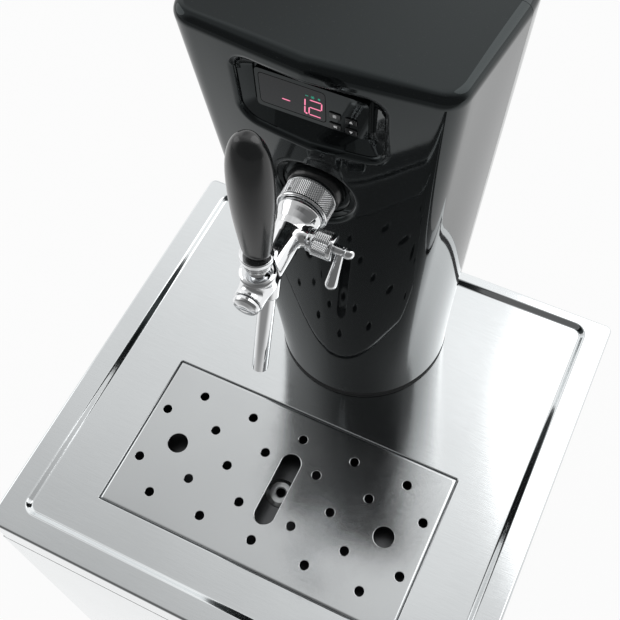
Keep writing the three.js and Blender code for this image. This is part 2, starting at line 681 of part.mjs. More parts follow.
function buildCabinet(root) {
  const group = groupAt(root, 0, 0, 0);
  addPiece(group, "cabinet_shell", cabinetShell(), paintedSteel);
  addPiece(group, "insulation", insulation(), foamYellow);
  addPiece(group, "cabinet_liner", cabinetLiner(), whitePlastic);
  [
    [-footX, foot.frontY], [footX, foot.frontY], [-footX, foot.backY], [footX, foot.backY],
  ].forEach(([x, y], i) => {
    addPiece(groupAt(group, x, y, 0), `foot_${i + 1}`, rubberFoot(), rubber);
  });
  addPiece(group, "rear_grille", rearGrille(), softBlack);
  addPiece(group, "power_inlet", powerInlet(), softBlack);
  const tipped = groupAt(group, inletX, rockerY, inlet.z + rocker.rise);
  tipped.rotation.x = rocker.tilt * degree;
  addPiece(tipped, "switch_rocker", switchRocker(), softBlack);
  addPiece(group, "compressor", compressorPot(), softBlack);
  addPiece(group, "condenser", condenserCore(), satinSteel);
  addPiece(group, "fan_housing", fanHousing(), softBlack);
  addPiece(group, "fan_rotor", fanRotor(), softBlack);
  addPiece(group, "evaporator", evaporatorPlate(), satinSteel);
}

// Door

const doorTop = deck.height - deck.skirt - door.topGap;
const doorX = cabinetX;
const doorBack = door.front + door.thick;
const gripZ = (doorTop + door.bottom) / 2;
const gripY = door.front + door.gripInset + door.gripWidth / 2;
const hingeX = doorX - hinge.inset;
const hingeY = doorBack - hinge.inset;

// The finger recess in the door's free edge, grown by a margin.
function gripBlock(margin, depth) {
  const { gripWidth, gripHeight } = door;
  return block(
    [-doorX - fit.overrun, gripY - gripWidth / 2 - margin, gripZ - gripHeight / 2 - margin],
    [-doorX + depth, gripY + gripWidth / 2 + margin, gripZ + gripHeight / 2 + margin],
  );
}

function hingeHoles() {
  const radius = hinge.pinRadius + fit.run;
  const length = hinge.pinLength + fit.overrun;
  return [doorTop - length, door.bottom - fit.overrun].map((z) =>
    rod(radius, z, z + length + fit.overrun, hinge.sides).translate(hingeX, hingeY, 0));
}

function doorPanel() {
  const { front, skin, bottom } = door;
  return cut(
    block([-doorX, front, bottom], [doorX, doorBack - door.linerStep, doorTop]),
    block(
      [-doorX + skin, front + skin, bottom + skin], [doorX - skin, doorBack + fit.overrun, doorTop - skin],
    ),
    gripBlock(fit.seat, door.gripDepth + fit.seat),
    ...hingeHoles(),
  );
}

function doorCore() {
  const { front, skin, bottom, linerStep } = door;
  const gap = skin + fit.seat;
  return cut(
    block([-doorX + gap, front + gap, bottom + gap], [doorX - gap, doorBack - linerStep, doorTop - gap]),
    gripBlock(2 * fit.seat, door.gripDepth + 2 * fit.seat),
    ...hingeHoles(),
  );
}

function doorLiner() {
  const { bottom, linerStep, linerInset, gasketWidth } = door;
  const y0 = doorBack - linerStep + fit.seat;
  const y1 = doorBack + linerStep;
  const inner = linerInset + gasketWidth + fit.run;
  return join(
    block([-doorX, y0, bottom], [doorX, doorBack, doorTop]),
    block(
      [-doorX + inner + linerInset, y0, bottom + inner + linerInset],
      [doorX - inner - linerInset, y1, doorTop - inner - linerInset],
    ),
  );
}

function doorGasket() {
  const { bottom, linerInset, gasketWidth, gasketThick } = door;
  const y0 = doorBack + fit.seat;
  const ring = (inset, a, b) => block(
    [-doorX + inset, a, bottom + inset], [doorX - inset, b, doorTop - inset],
  );
  return cut(
    ring(linerInset, y0, y0 + gasketThick),
    ring(linerInset + gasketWidth, y0 - fit.overrun, y0 + gasketThick + fit.overrun),
  );
}

function doorGrip() {
  return cut(
    common(
      gripBlock(0, door.gripDepth),
      block([-doorX, door.front, door.bottom], [doorX, doorBack, doorTop]),
    ),
    gripBlock(-door.gripWall, door.gripDepth - door.gripWall),
  );
}

// An angle plate screwed to the cabinet, with a pin that the door turns on.
function hingeTop() {
  const z0 = doorTop + fit.run;
  const { plate: thick, reachIn, leg, pinRadius, pinLength, sides } = hinge;
  const [x, y] = [hingeX, hingeY];
  const back = cabinet.front - fit.seat;
  const [x0, x1] = [x - reachIn, deck.width / 2 - deck.sheet - fit.run];
  return join(
    block([x0, y - reachIn / 2, z0], [x1, back, z0 + thick]),
    block([x0, back - thick, z0], [x1, back, z0 + leg]),
    rod(pinRadius, z0 - pinLength, z0 + thick / 2, sides).translate(x, y, 0),
  );
}

function hingeBottom() {
  const z1 = cabinet.footHeight - fit.seat;
  const { plate: thick, reachIn, tail, pinRadius, pinLength, sides } = hinge;
  const [x, y] = [hingeX, hingeY];
  return join(
    block([x - reachIn, y - reachIn / 2, z1 - thick], [doorX, cabinet.front + tail, z1]),
    rod(pinRadius, z1 - thick / 2, door.bottom + pinLength, sides).translate(x, y, 0),
  );
}

function buildDoor(root) {
  addPiece(root, "door_panel", doorPanel(), polishedSteel);
  addPiece(root, "door_core", doorCore(), foamYellow);
  addPiece(root, "door_liner", doorLiner(), whitePlastic);
  addPiece(root, "door_gasket", doorGasket(), rubber);
  addPiece(root, "door_grip", doorGrip(), softBlack);
  addPiece(root, "hinge_top", hingeTop(), satinSteel);
  addPiece(root, "hinge_bottom", hingeBottom(), satinSteel);
}

// Keg, gas and beer line

const kegHeight = chamberCeiling - keg.headroom - chamberFloor - fit.seat;
const bottleHeight = kegHeight - gas.belowKeg;
const chamberX = linerX - cabinet.liner;
const freeRoom = 2 * (chamberX - keg.radius - gas.radius);
const kegX = keg.radius + freeRoom * keg.roomShare - chamberX;
const gasX = chamberX - gas.radius - freeRoom * gas.roomShare;
const kegTop = chamberFloor + fit.seat + kegHeight;
const kegDeck = kegTop - keg.rimHeight;
const couplerTop = kegDeck + fit.seat + coupler.flangeThick + coupler.height;
const beerPortZ = couplerTop - coupler.spigot;
const gasBodyZ = chamberFloor + fit.seat + bottleHeight + gas.neckRise;
const gasPortZ = gasBodyZ + gas.bodyHeight / 2;

function kegVessel() {
  const { radius, wall, rimHeight, rimInset, dome, bung, sides } = keg;
  const height = kegHeight;
  const deckZ = height - rimHeight;
  const shoulder = radius - rimInset;
  return turned(
    [[0, rimHeight], [radius - dome, rimHeight], [shoulder - wall, 0], [radius, 0], [radius, height],
      [shoulder - wall, height], [shoulder - wall, deckZ], [bung, deckZ], [bung, deckZ - wall],
      [radius - wall, deckZ - wall - rimInset], [radius - wall, rimHeight + rimInset + wall],
      [radius - dome, rimHeight + wall], [0, rimHeight + wall]],
    sides,
  );
}

function kegCoupler() {
  const { radius, height, flangeRadius, flangeThick, portRadius, portReach, portZ, sides, spigot } = coupler;
  const body = turned(
    [[0, 0], [flangeRadius, 0], [flangeRadius, flangeThick], [radius, flangeThick], [
      radius, flangeThick + height - spigot,
    ],
      [radius / 2, flangeThick + height], [0, flangeThick + height]],
    sides,
  );
  const gasPort = facingRight(rod(portRadius, 0, portReach, sides)).translate(0, 0, portZ);
  const plug = rod(keg.bung - fit.run, -keg.wall - flangeThick / 2, flangeThick / 2, sides);
  return cut(
    join(body, gasPort, plug),
    rod(spear.radius + fit.seat, -height, flangeThick, spear.sides),
  ).translate(kegX, keg.y, kegDeck + fit.seat);
}

function dipTube() {
  const { radius, bore, floorGap, sides } = spear;
  const low = chamberFloor + keg.rimHeight + floorGap;
  const high = kegDeck + coupler.flangeThick;
  return pipeRing(radius, bore, low, high, sides).translate(kegX, keg.y, 0);
}

function gasBottle() {
  const { radius, shoulder, neck, neckRise, sides } = gas;
  const height = bottleHeight;
  const edge = radius - neck;
  return turned(
    [[0, 0], [radius - edge / 3, 0], [radius, edge / 3], [radius, height - shoulder], [
      neck + edge / 3, height - edge / 3,
    ],
      [neck, height], [neck, height + neckRise], [0, height + neckRise]],
    sides,
  ).translate(gasX, gas.y, chamberFloor + fit.seat);
}

function regulator() {
  const { bodyRadius, bodyHeight, portReach, portRadius, sides } = gas;
  const body = rod(bodyRadius, fit.seat, bodyHeight, sides);
  const port = facingRight(rod(portRadius, -portReach, 0, sides)).translate(0, 0, bodyHeight / 2);
  return join(body, port).translate(gasX, gas.y, gasBodyZ);
}

function regulatorKnob() {
  const { knobRadius, knobLength, knobGap, sides } = gas;
  const start = gas.bodyRadius + knobGap / 2;
  const grips = Array.from({ length: sides / 2 }, (_, i) => rod(
    knobRadius / sides * 2, start, start + knobLength, 6,
  )
    .translate(knobRadius, 0, 0).rotateZ((i * fullTurn * 2) / sides));
  const body = cut(rod(knobRadius, start, start + knobLength, sides), ...grips);
  return facingFront(body).translate(gasX, gas.y, gasPortZ);
}

function gasLine() {
  const start = [gasX - gas.portReach - fit.seat, gas.y, gasPortZ];
  const end = [kegX + coupler.portReach + fit.seat, keg.y, kegDeck + fit.seat + coupler.portZ];
  const lead = gas.portReach / 3;
  const middle = [
    (start[0] + end[0]) / 2, (start[1] + end[1]) / 2, Math.max(start[2], end[2]) + gas.lineRise,
  ];
  const route = [start, [start[0] - lead, start[1], start[2]], middle, [end[0] + lead, end[1], end[2]], end];
  return tubeAlong(route, gas.lineRadius, gas.lineSides, gas.lineSteps);
}

const dishZ = tower.height - dish.drop;
const recessZ = tower.height - recess.drop;
const recessFloorZ = tower.height - recess.floorDrop;
const shankTail = [0, towerY + dish.floorY + shank.tail, deck.height + dishZ];

function beerLine() {
  const start = [kegX, keg.y, couplerTop + fit.seat];
  const ductTop = deck.height + duct.rise;
  const lead = 2 * line.radius;
  const route = [
    start, [kegX, keg.y, start[2] + lead / 4],
    [kegX + lead, keg.y + 2 * lead, chamberCeiling - lead],
    [kegX / 2, (keg.y + towerY) / 2, chamberCeiling - lead],
    [-lead / 2, towerY - 2 * lead, chamberCeiling - lead],
    [0, towerY, cabinetTop], [0, towerY, (cabinetTop + ductTop) / 2], [0, towerY, ductTop],
    [0, towerY - lead / 3, (ductTop + shankTail[2]) / 2],
    [0, shankTail[1] + 2 * lead, shankTail[2] - lead / 2],
    [0, shankTail[1] + fit.seat + lead / 2, shankTail[2]], [0, shankTail[1] + fit.seat, shankTail[2]],
  ];
  return tubeAlong(route, line.radius, line.sides, line.steps);
}

function buildKeg(root) {
  const vessel = groupAt(root, kegX, keg.y, chamberFloor + fit.seat);
  addPiece(vessel, "keg", kegVessel(), satinSteel);
  addPiece(root, "keg_coupler", kegCoupler(), chrome);
  addPiece(root, "dip_tube", dipTube(), satinSteel);
  addPiece(root, "gas_bottle", gasBottle(), softBlack);
  addPiece(root, "regulator", regulator(), chrome);
  addPiece(root, "regulator_knob", regulatorKnob(), softBlack);
  addPiece(root, "gas_line", gasLine(), clearHose);
  addPiece(root, "beer_line", beerLine(), clearHose);
}

// Tower: heights are measured from the worktop's field, and Y from the tower's own axis

// The share of the flare reached at a height: almost none at the foot, then a straight slope.
function flareShare(z) {
  const { bendHeight, bendSoftness, height } = tower;
  const rise = (v) => Math.hypot(v - bendHeight, bendSoftness) + (v - bendHeight);
  return (rise(z) - rise(0)) / (rise(height) - rise(0));
}

// The head seen from above, from the middle of its front round the right side to the middle of its back.
function headHalf() {
  const { headFront, headCornerX, headCornerY, headSide, headRear, cornerBlend } = tower;
  const { frontSteps, cornerSteps, sideSteps, rearSteps, rearPower } = tower;
  const points = [];
  const frontSlope = (headFront - headCornerY) / headCornerX;
  const frontEnd = [headCornerX - cornerBlend, -headCornerY - frontSlope * cornerBlend];
  const sideSlope = (headSide - headCornerX) / headCornerY;
  const sideStart = [headCornerX + sideSlope * cornerBlend, -headCornerY + cornerBlend];
  for (let i = 0; i < frontSteps; i++) {
    const share = i / frontSteps;
    points.push([share * frontEnd[0], -headFront + share * (headFront + frontEnd[1])]);
  }
  for (let i = 0; i <= cornerSteps; i++) {
    const t = i / cornerSteps;
    const [a, b, c] = [(1 - t) ** 2, 2 * t * (1 - t), t ** 2];
    points.push([
      a * frontEnd[0] + b * headCornerX + c * sideStart[0],
      a * frontEnd[1] - b * headCornerY + c * sideStart[1],
    ]);
  }
  for (let i = 1; i <= sideSteps; i++) {
    const share = i / sideSteps;
    points.push([sideStart[0] + share * (headSide - sideStart[0]), sideStart[1] * (1 - share)]);
  }
  for (let i = 1; i <= rearSteps; i++) {
    const angle = (i / rearSteps) * quarterTurn;
    points.push([
      headSide * Math.max(0, Math.cos(angle)) ** (2 / rearPower),
      headRear * Math.sin(angle) ** (2 / rearPower),
    ]);
  }
  return points;
}

function headOutline() {
  const half = headHalf();
  const left = half.slice(1, -1).reverse().map(([x, y]) => [-x, y]);
  return [...half, ...left];
}

// One ring of the tower's skin at a height, moved in by an inset.
function towerRing(z, inset) {
  const share = flareShare(z);
  return headOutline().map(([x, y]) => {
    const reach = Math.hypot(x, y);
    const radius = tower.footRadius + share * (reach - tower.footRadius) - inset;
    return [(x / reach) * radius, (y / reach) * radius, z];
  });
}

function towerBody(inset, bottom, top, levels) {
  const rounding = tower.topRadius - inset;
  const rings = [];
  for (let i = 0; i <= levels; i++) rings.push(towerRing(
    bottom + (i * (top - rounding - bottom)) / levels, inset,
  ));
  [1, 2, 3].forEach((i) => {
    const angle = (i * quarterTurn) / 3;
    const z = top - rounding + rounding * Math.sin(angle);
    rings.push(towerRing(z, inset + rounding * (1 - Math.cos(angle))));
  });
  return loft(rings);
}

function rectangleRing(width, height, radius, y, z) {
  return rectangle(width, height, radius, recess.steps).map(([a, b]) => [a, y, z + b]);
}

function recessTool(wall) {
  const grow = 2 * wall;
  const front = -tower.headFront;
  return loft([
    rectangleRing(
      recess.floorWidth + grow, recess.floorHeight + grow, recess.floorRadius + wall, recess.floorY + wall,
      recessFloorZ,
    ),
    rectangleRing(recess.width + grow, recess.height + grow, recess.radius + wall, front, recessZ),
    rectangleRing(
      recess.width + grow, recess.height + grow, recess.radius + wall, front - fit.overrun, recessZ,
    ),
  ]);
}

function dishTool(wall) {
  const depth = tower.headFront + dish.floorY + fit.overrun;
  const profile = [[0, -wall], [dish.floorRadius + wall, -wall], [dish.radius + wall, depth], [0, depth]];
  return facingFront(turned(profile, dish.sides)).translate(0, dish.floorY, dishZ);
}

function caseHole() {
  const { caseWidth, caseHeight } = thermostat;
  const y1 = recess.floorY + tower.wall + fit.overrun;
  return block(
    [-caseWidth / 2 - fit.seat, recess.floorY - fit.overrun, recessFloorZ - caseHeight / 2 - fit.seat],
    [caseWidth / 2 + fit.seat, y1, recessFloorZ + caseHeight / 2 + fit.seat],
  );
}

function towerShells() {
  const { wall, height, ringRise } = tower;
  const bottom = ringRise + 2 * fit.seat;
  const cavity = cut(
    towerBody(wall, bottom - fit.overrun, height - wall, tower.cavityLevels), recessTool(wall),
    dishTool(wall),
  );
  const shankHole = facingFront(rod(shank.radius + fit.seat, -fit.overrun, wall + fit.overrun, dish.sides))
    .translate(0, dish.floorY + wall, dishZ);
  const skin = cut(
    towerBody(0, bottom, height, tower.levels), cavity, recessTool(0), dishTool(0), caseHole(), shankHole,
  );
  const reach = 2 * tower.headSide;
  const split = fit.seat / 2;
  const half = (y0, y1) => common(skin, block([-reach, y0, 0], [reach, y1, height + fit.overrun]));
  return { front: half(-reach, -split), rear: half(split, reach) };
}

function footRing() {
  const { footRadius, ringWidth, ringRise } = tower;
  return pipeRing(footRadius, footRadius - ringWidth, fit.seat, ringRise + fit.seat, headOutline().length);
}

function ductTube() {
  const { radius, wall, plateRadius, plateThick, rise, sides, boltRadius, bolt } = duct;
  const low = chamberCeiling - deck.height + fit.run;
  const z0 = fit.seat;
  const profile = [
    [radius - wall, low], [radius, low], [radius, z0], [plateRadius, z0], [plateRadius, z0 + plateThick],
    [radius, z0 + plateThick], [radius, rise], [radius - wall, rise],
  ];
  const holes = [0, 1, 2, 3].map((i) => rod(bolt, -fit.overrun, z0 + plateThick + fit.overrun, sides / 2)
    .translate(boltRadius, 0, 0).rotateZ((i + 0.5) * quarterTurn));
  return cut(turned(profile, sides), ...holes);
}

function buildTower(root) {
  const group = groupAt(root, 0, towerY, deck.height);
  const shells = towerShells();
  addPiece(group, "tower_front_shell", shells.front, glossBlack);
  addPiece(group, "tower_rear_shell", shells.rear, glossBlack);
  addPiece(group, "tower_foot_ring", footRing(), rubber);
  addPiece(group, "tower_duct", ductTube(), softBlack);
  buildThermostat(groupAt(group, 0, recess.floorY - fit.seat, recessFloorZ));
  buildTap(groupAt(group, 0, dish.floorY, dishZ));
}

// Thermostat: its origin is the middle of the back of its front plate

const keyPlaces = [
  ["key_set", key.leftX, key.leftUpZ], ["key_light", key.leftX, key.leftLowZ],
  ["key_up", key.rightX, key.rightUpZ], ["key_down", key.rightX, key.rightLowZ],
];

// A rounded slab that faces the front, from y0 back to y1.
function facePlate(width, height, radius, y0, y1) {
  return prism(
    rectangle(width, height, radius, deck.cornerSteps), y1 - y0,
  ).rotateX(quarterTurn).translate(0, y1, 0);
}

function thermostatFront() {
  const { width, height, thick, cornerRadius, windowX, windowWidth, windowHeight, windowThick } = thermostat;
  const window = facePlate(windowWidth + 2 * fit.seat, windowHeight + 2 * fit.seat, cornerRadius,
    -thick - fit.overrun, -thick + windowThick + fit.seat).translate(windowX, 0, 0);
  const holes = keyPlaces.map(([, x, z]) => facePlate(key.width + 2 * fit.seat, key.height + 2 * fit.seat,
    key.radius, -thick - fit.overrun, fit.overrun).translate(x, 0, z));
  return cut(facePlate(width, height, cornerRadius, -thick, 0), window, ...holes);
}

function displayWindow() {
  const { thick, windowWidth, windowHeight, windowThick, cornerRadius, windowX } = thermostat;
  return facePlate(windowWidth, windowHeight, cornerRadius - fit.seat, -thick, -thick + windowThick)
    .translate(windowX, 0, 0);
}

function thermostatKey() {
  const front = -thermostat.thick - key.proud;
  return facePlate(key.width, key.height, key.radius - fit.seat, front, front + key.thick);
}

function thermostatCase() {
  const { caseWidth, caseHeight, caseDepth } = thermostat;
  return block([-caseWidth / 2, fit.seat, -caseHeight / 2], [caseWidth / 2, caseDepth, caseHeight / 2]);
}

function buildThermostat(group) {
  addPiece(group, "thermostat_front", thermostatFront(), glossBlack);
  addPiece(group, "thermostat_case", thermostatCase(), softBlack);
  addPiece(group, "display_window", displayWindow(), smokedGlass);
  keyPlaces.forEach(([name, x, z]) => addPiece(groupAt(group, x, 0, z), name, thermostatKey(), softBlack));
}

// Tap: its origin is on the tap's axis at the floor of the round recess, and -Y is the way it points

function shankFlange() {
  const { radius, flangeRadius, flangeThick } = shank;
  const hole = radius + fit.seat;
  const profile = [
    [hole, fit.seat], [flangeRadius, fit.seat], [flangeRadius, flangeThick / 2],
    [flangeRadius - flangeThick / 4, flangeThick + fit.seat], [hole, flangeThick + fit.seat],
  ];
  return facingFront(turned(profile, nut.sides));
}

function tapShank() {
  return facingFront(pipeRing(shank.radius, shank.bore, -shank.tail, shank.front, barrel.sides));
}

function shankNut() {
  const { radius, nutFlats, nutThick } = shank;
  const back = -tower.wall - fit.seat;
  const hex = prism(
    polygon(0, 0, nutFlats / 2 / Math.cos(halfTurn / 6), 6), nutThick,
  ).translate(0, 0, back - nutThick);
  return facingFront(cut(hex, rod(radius + fit.seat, back - 2 * nutThick, 0, barrel.sides)));
}

function couplingNut() {
  const { radius, back, front, cavity, lip, hole, chamfer } = nut;
  const threadHole = shank.radius + fit.seat;
  return facingFront(turned(
    [[threadHole, back], [radius - chamfer, back], [radius, back + chamfer], [radius, front - chamfer],
      [radius - chamfer, front], [hole, front], [hole, front - lip], [cavity, front - lip],
      [cavity, shank.front],
      [threadHole, shank.front]],
    nut.sides,
  ));
}

// A rod from a point on the tap's middle plane, tilted forward from straight down.
function spoutRod(radius, start, end, sides) {
  return rod(radius, -end, -start, sides).rotateX(-spout.tilt * degree).translate(0, -spout.y, 0);
}

function tapBody() {
  const {
    tailRadius, tailThick, neckRadius, shoulderRadius, shoulderLength, waist, radius, noseRadius, front,
  } = barrel;
  const tailY = shank.front + fit.seat;
  const shoulderY = nut.front + fit.seat;
  const shell = facingFront(turned(
    [[0, tailY], [tailRadius, tailY], [tailRadius, tailY + tailThick], [neckRadius, tailY + tailThick],
      [neckRadius, shoulderY], [shoulderRadius, shoulderY], [shoulderRadius, shoulderY + shoulderLength / 2],
      [(shoulderRadius + radius) / 2, shoulderY + shoulderLength], [radius, waist],
      [noseRadius, front - tailThick],
      [noseRadius, front], [0, front]],
    barrel.sides,
  ));
  const side = [
    [-keel.back, 0], [-keel.back, -keel.backDrop], [-keel.lowY, -keel.lowZ], [-keel.front, -keel.frontZ],
    [-keel.front, 0],
  ];
  const fin = prism(side, keel.width).translate(0, 0, -keel.width / 2).rotateX(quarterTurn).rotateZ(quarterTurn);
  const socket = spoutRod(spout.socketRadius, 0, spout.socketEnd, spout.sides);
  const arm = facingRight(rod(branch.radius, 0, branch.reach, branch.sides)).translate(0, -branch.y, 0);
  const collar = facingRight(rod(
    branch.collar, branch.reach - branch.collarThick, branch.reach, branch.sides,
  ))
    .translate(0, -branch.y, 0);
  const boss = rod(pivot.bossRadius, 0, pivot.bossTop, pivot.sides).translate(0, -pivot.y, 0);
  const ballRoom = new THREE.SphereGeometry(pivot.ballRadius + fit.seat, pivot.sides, pivot.sides / 2)
    .translate(0, -pivot.y, pivot.z);
  const fingerRoom = block(
    [-piston.slotWidth / 2, -pivot.y - lever.fingerSwing, 0],
    [piston.slotWidth / 2, -pivot.y + lever.fingerSwing, pivot.z],
  );
  const bores = [
    facingFront(rod(barrel.bore, tailY - fit.overrun, barrel.seatBack, branch.sides)),
    facingFront(rod(barrel.seatBore, tailY, barrel.pistonBack + fit.overrun, branch.sides)),
    facingFront(rod(barrel.pistonBore, barrel.pistonBack, front + fit.overrun, branch.sides)),
    spoutRod(spout.bore, 0, spout.start + fit.overrun, branch.sides),
    spoutRod(spout.radius + fit.seat, spout.start - fit.seat, spout.socketEnd + fit.overrun, spout.sides),
    facingRight(rod(branch.bore, 0, branch.reach + fit.overrun, branch.sides)).translate(0, -branch.y, 0),
  ];
  return cut(join(shell, fin, socket, arm, collar, boss), ballRoom, fingerRoom, ...bores);
}

function endCap() {
  const { radius, length, stem, stemLength, slotWidth, slotDepth, sides } = cap;
  const y0 = barrel.front + fit.seat;
  const body = turned(
    [[0, y0 - stemLength], [stem, y0 - stemLength], [stem, y0], [radius, y0], [
      radius, y0 + length - slotDepth,
    ],
      [radius - slotDepth, y0 + length], [0, y0 + length]],
    sides,
  );
  const slot = block(
    [-radius, -slotWidth / 2, y0 + length - slotDepth], [radius, slotWidth / 2, y0 + length + fit.overrun],
  );
  return facingFront(cut(body, slot));
}

function spoutTube() {
  return cut(
    spoutRod(spout.radius, spout.start, spout.tip, spout.sides),
    spoutRod(spout.bore, spout.start - fit.overrun, spout.tip + fit.overrun, spout.sides),
  );
}

function compensatorSleeve() {
  const { radius, length, chamfer, bore } = sleeve;
  const x0 = branch.reach + fit.seat;
  const x1 = x0 + length;
  return facingRight(turned(
    [[bore, x0], [radius - chamfer, x0], [radius, x0 + chamfer], [radius, x1 - chamfer], [radius - chamfer, x1],
      [bore, x1]],
    sleeve.sides,
  )).translate(0, -branch.y, 0);
}

function compensatorSpindle() {
  const {
    radius, back, reach, ballRadius, ballX, leverX, leverLength, leverRadius, leverTip, leverAngle,
  } = spindle;
  const ball = new THREE.SphereGeometry(ballRadius, spindle.sides, spindle.sides / 2).translate(ballX, 0, 0);
  const profile = [[0, 0], [leverRadius, 0], [leverTip, leverLength]];
  for (let i = 1; i <= spindle.tipSteps; i++) {
    const angle = (i / spindle.tipSteps) * quarterTurn;
    profile.push([leverTip * Math.max(0, Math.cos(angle)), leverLength + leverTip * Math.sin(angle)]);
  }
  profile[profile.length - 1][0] = 0;
  const arm = turned(profile, spindle.sides).rotateX(halfTurn - leverAngle * degree).translate(leverX, 0, 0);
  return join(facingRight(rod(radius, back, reach + ballRadius / 2, spindle.sides)), ball, arm)
    .translate(0, -branch.y, 0);
}

function socketRing() {
  const { ballRadius, bossTop, ringTop, ringRadius, sides, z } = pivot;
  const low = bossTop + fit.seat;
  const roomAt = (height) => Math.sqrt((ballRadius + fit.seat) ** 2 - (height - z) ** 2);
  const mid = (low + ringTop) / 2;
  return turned(
    [[roomAt(low), low], [ringRadius, low], [ringRadius, mid], [ringRadius - (ringTop - mid), ringTop],
      [roomAt(ringTop), ringTop], [roomAt(mid), mid]],
    sides,
  ).translate(0, -pivot.y, 0);
}

// The lever is drawn upright round its ball and leaned back as one group.
function tapLever() {
  const { neckRadius, ferruleStart, ferruleEnd, ferruleLow, ferruleTop, ferruleLip } = lever;
  const { fingerRadius, fingerLength, studRadius, studLength } = lever;
  const ball = new THREE.SphereGeometry(pivot.ballRadius, pivot.sides, pivot.sides / 2);
  const stalk = turned(
    [[0, 0], [neckRadius, 0], [neckRadius, ferruleStart], [ferruleLow, ferruleStart],
      [ferruleLow, ferruleEnd - 2 * ferruleLip], [ferruleTop, ferruleEnd - ferruleLip],
      [ferruleTop, ferruleEnd],
      [studRadius, ferruleEnd], [studRadius, ferruleEnd + studLength], [0, ferruleEnd + studLength]],
    pivot.sides,
  );
  return join(ball, stalk, rod(fingerRadius, -fingerLength, 0, branch.sides / 2));
}

function tapHandle() {
  const { length, halfWidth, halfDepth, baseShare, steps, sides, widestShare } = knob;
  const base = lever.ferruleEnd + fit.seat;
  const profile = [[0, base]];
  for (let i = 0; i < steps; i++) {
    const share = i / steps;
    const bend = share < widestShare
      ? baseShare + (1 - baseShare) * Math.sin((share / widestShare) * quarterTurn)
      : Math.sqrt(1 - ((share - widestShare) / (1 - widestShare)) ** 2);
    profile.push([halfWidth * bend, base + share * length]);
  }
  profile.push([0, base + length]);
  const socket = rod(
    lever.studRadius + fit.seat, base - fit.overrun, lever.ferruleEnd + lever.studLength + fit.run, sides,
  );
  const body = turned(profile, sides).scale(1, halfDepth / halfWidth, 1);
  return cut(body, socket);
}

// The plug at the back closes the seat; the lever's finger sits in the slot and slides the whole piece.
function tapPiston() {
  const { radius, front, back, notch, notchZ, slot, slotWidth, slotFloor } = piston;
  const { stemRadius, plugRadius, plugFront, plugBack } = piston;
  const plunger = facingFront(turned(
    [[0, plugBack], [plugRadius, plugBack], [plugRadius, plugFront], [stemRadius, plugFront], [stemRadius, back],
      [radius, back], [radius, front], [0, front]],
    branch.sides,
  ));
  const ballRoom = block(
    [-radius - fit.overrun, -pivot.y - notch / 2, notchZ],
    [radius + fit.overrun, -pivot.y + notch / 2, radius + fit.overrun],
  );
  const fingerRoom = block(
    [-slotWidth / 2, -pivot.y - slot / 2, slotFloor],
    [slotWidth / 2, -pivot.y + slot / 2, radius + fit.overrun],
  );
  return cut(plunger, ballRoom, fingerRoom);
}

function buildTap(group) {
  addPiece(group, "shank_flange", shankFlange(), softBlack);
  addPiece(group, "tap_shank", tapShank(), chrome);
  addPiece(group, "shank_nut", shankNut(), satinSteel);
  addPiece(group, "coupling_nut", couplingNut(), knurledChrome);
  addPiece(group, "tap_body", tapBody(), chrome);
  addPiece(group, "end_cap", endCap(), chrome);
  addPiece(group, "spout", spoutTube(), chrome);
  addPiece(group, "compensator_sleeve", compensatorSleeve(), knurledChrome);
  addPiece(group, "compensator_spindle", compensatorSpindle(), chrome);
  addPiece(group, "socket_ring", socketRing(), chrome);
  addPiece(group, "tap_piston", tapPiston(), satinSteel);
  const hand = groupAt(group, 0, -pivot.y, pivot.z);
  hand.rotation.x = -lever.lean * degree;
  addPiece(hand, "tap_lever", tapLever(), chrome);
  addPiece(hand, "tap_handle", tapHandle(), softBlack);
}

const dispenser = new THREE.Group();
buildCabinet(dispenser);
buildDoor(dispenser);
buildWorktop(dispenser);
buildKeg(dispenser);
buildTower(dispenser);

export default dispenser;
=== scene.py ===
import json
import math
from contextlib import contextmanager

import bmesh
import bpy
import numpy as np
from mathutils import Matrix, Vector
from mathutils.geometry import delaunay_2d_cdt, tessellate_polygon


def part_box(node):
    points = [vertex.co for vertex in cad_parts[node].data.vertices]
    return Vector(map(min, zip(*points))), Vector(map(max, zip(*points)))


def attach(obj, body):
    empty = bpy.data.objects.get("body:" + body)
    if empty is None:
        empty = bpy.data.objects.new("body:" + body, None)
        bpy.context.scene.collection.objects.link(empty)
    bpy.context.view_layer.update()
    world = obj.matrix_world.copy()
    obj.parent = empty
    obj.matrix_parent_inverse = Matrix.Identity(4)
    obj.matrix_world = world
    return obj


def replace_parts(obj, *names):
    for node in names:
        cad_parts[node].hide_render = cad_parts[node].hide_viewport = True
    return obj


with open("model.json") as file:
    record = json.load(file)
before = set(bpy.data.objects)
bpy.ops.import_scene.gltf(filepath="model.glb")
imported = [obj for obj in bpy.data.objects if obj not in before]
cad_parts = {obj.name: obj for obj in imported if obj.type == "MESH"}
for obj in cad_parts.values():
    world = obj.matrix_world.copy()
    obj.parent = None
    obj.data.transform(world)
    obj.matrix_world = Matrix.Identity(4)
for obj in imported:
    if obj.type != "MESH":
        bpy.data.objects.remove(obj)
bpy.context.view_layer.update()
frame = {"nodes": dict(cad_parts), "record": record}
slotOf = {row["node"]: row["material_slot"] for row in frame["record"]["subparts"]}
bodyOf = {node: body for body, nodes in frame["record"]["behaviour"]["bodies"].items() for node in nodes}
print("frame: loaded", len(frame["nodes"]), "nodes")

# Millimetres from the floor under the middle of the worktop, front towards -Y, as in the part's own drawing
mm = 0.001
degree = math.pi / 180
quarter = math.pi / 2
deckTop = 444
deckLow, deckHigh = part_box("worktop")
origin = np.array([
    (deckLow[0] + deckHigh[0]) / 2, (deckLow[1] + deckHigh[1]) / 2, deckHigh[2] - deckTop * mm,
])


def place(points):
    return np.asarray(points, float) * mm + origin


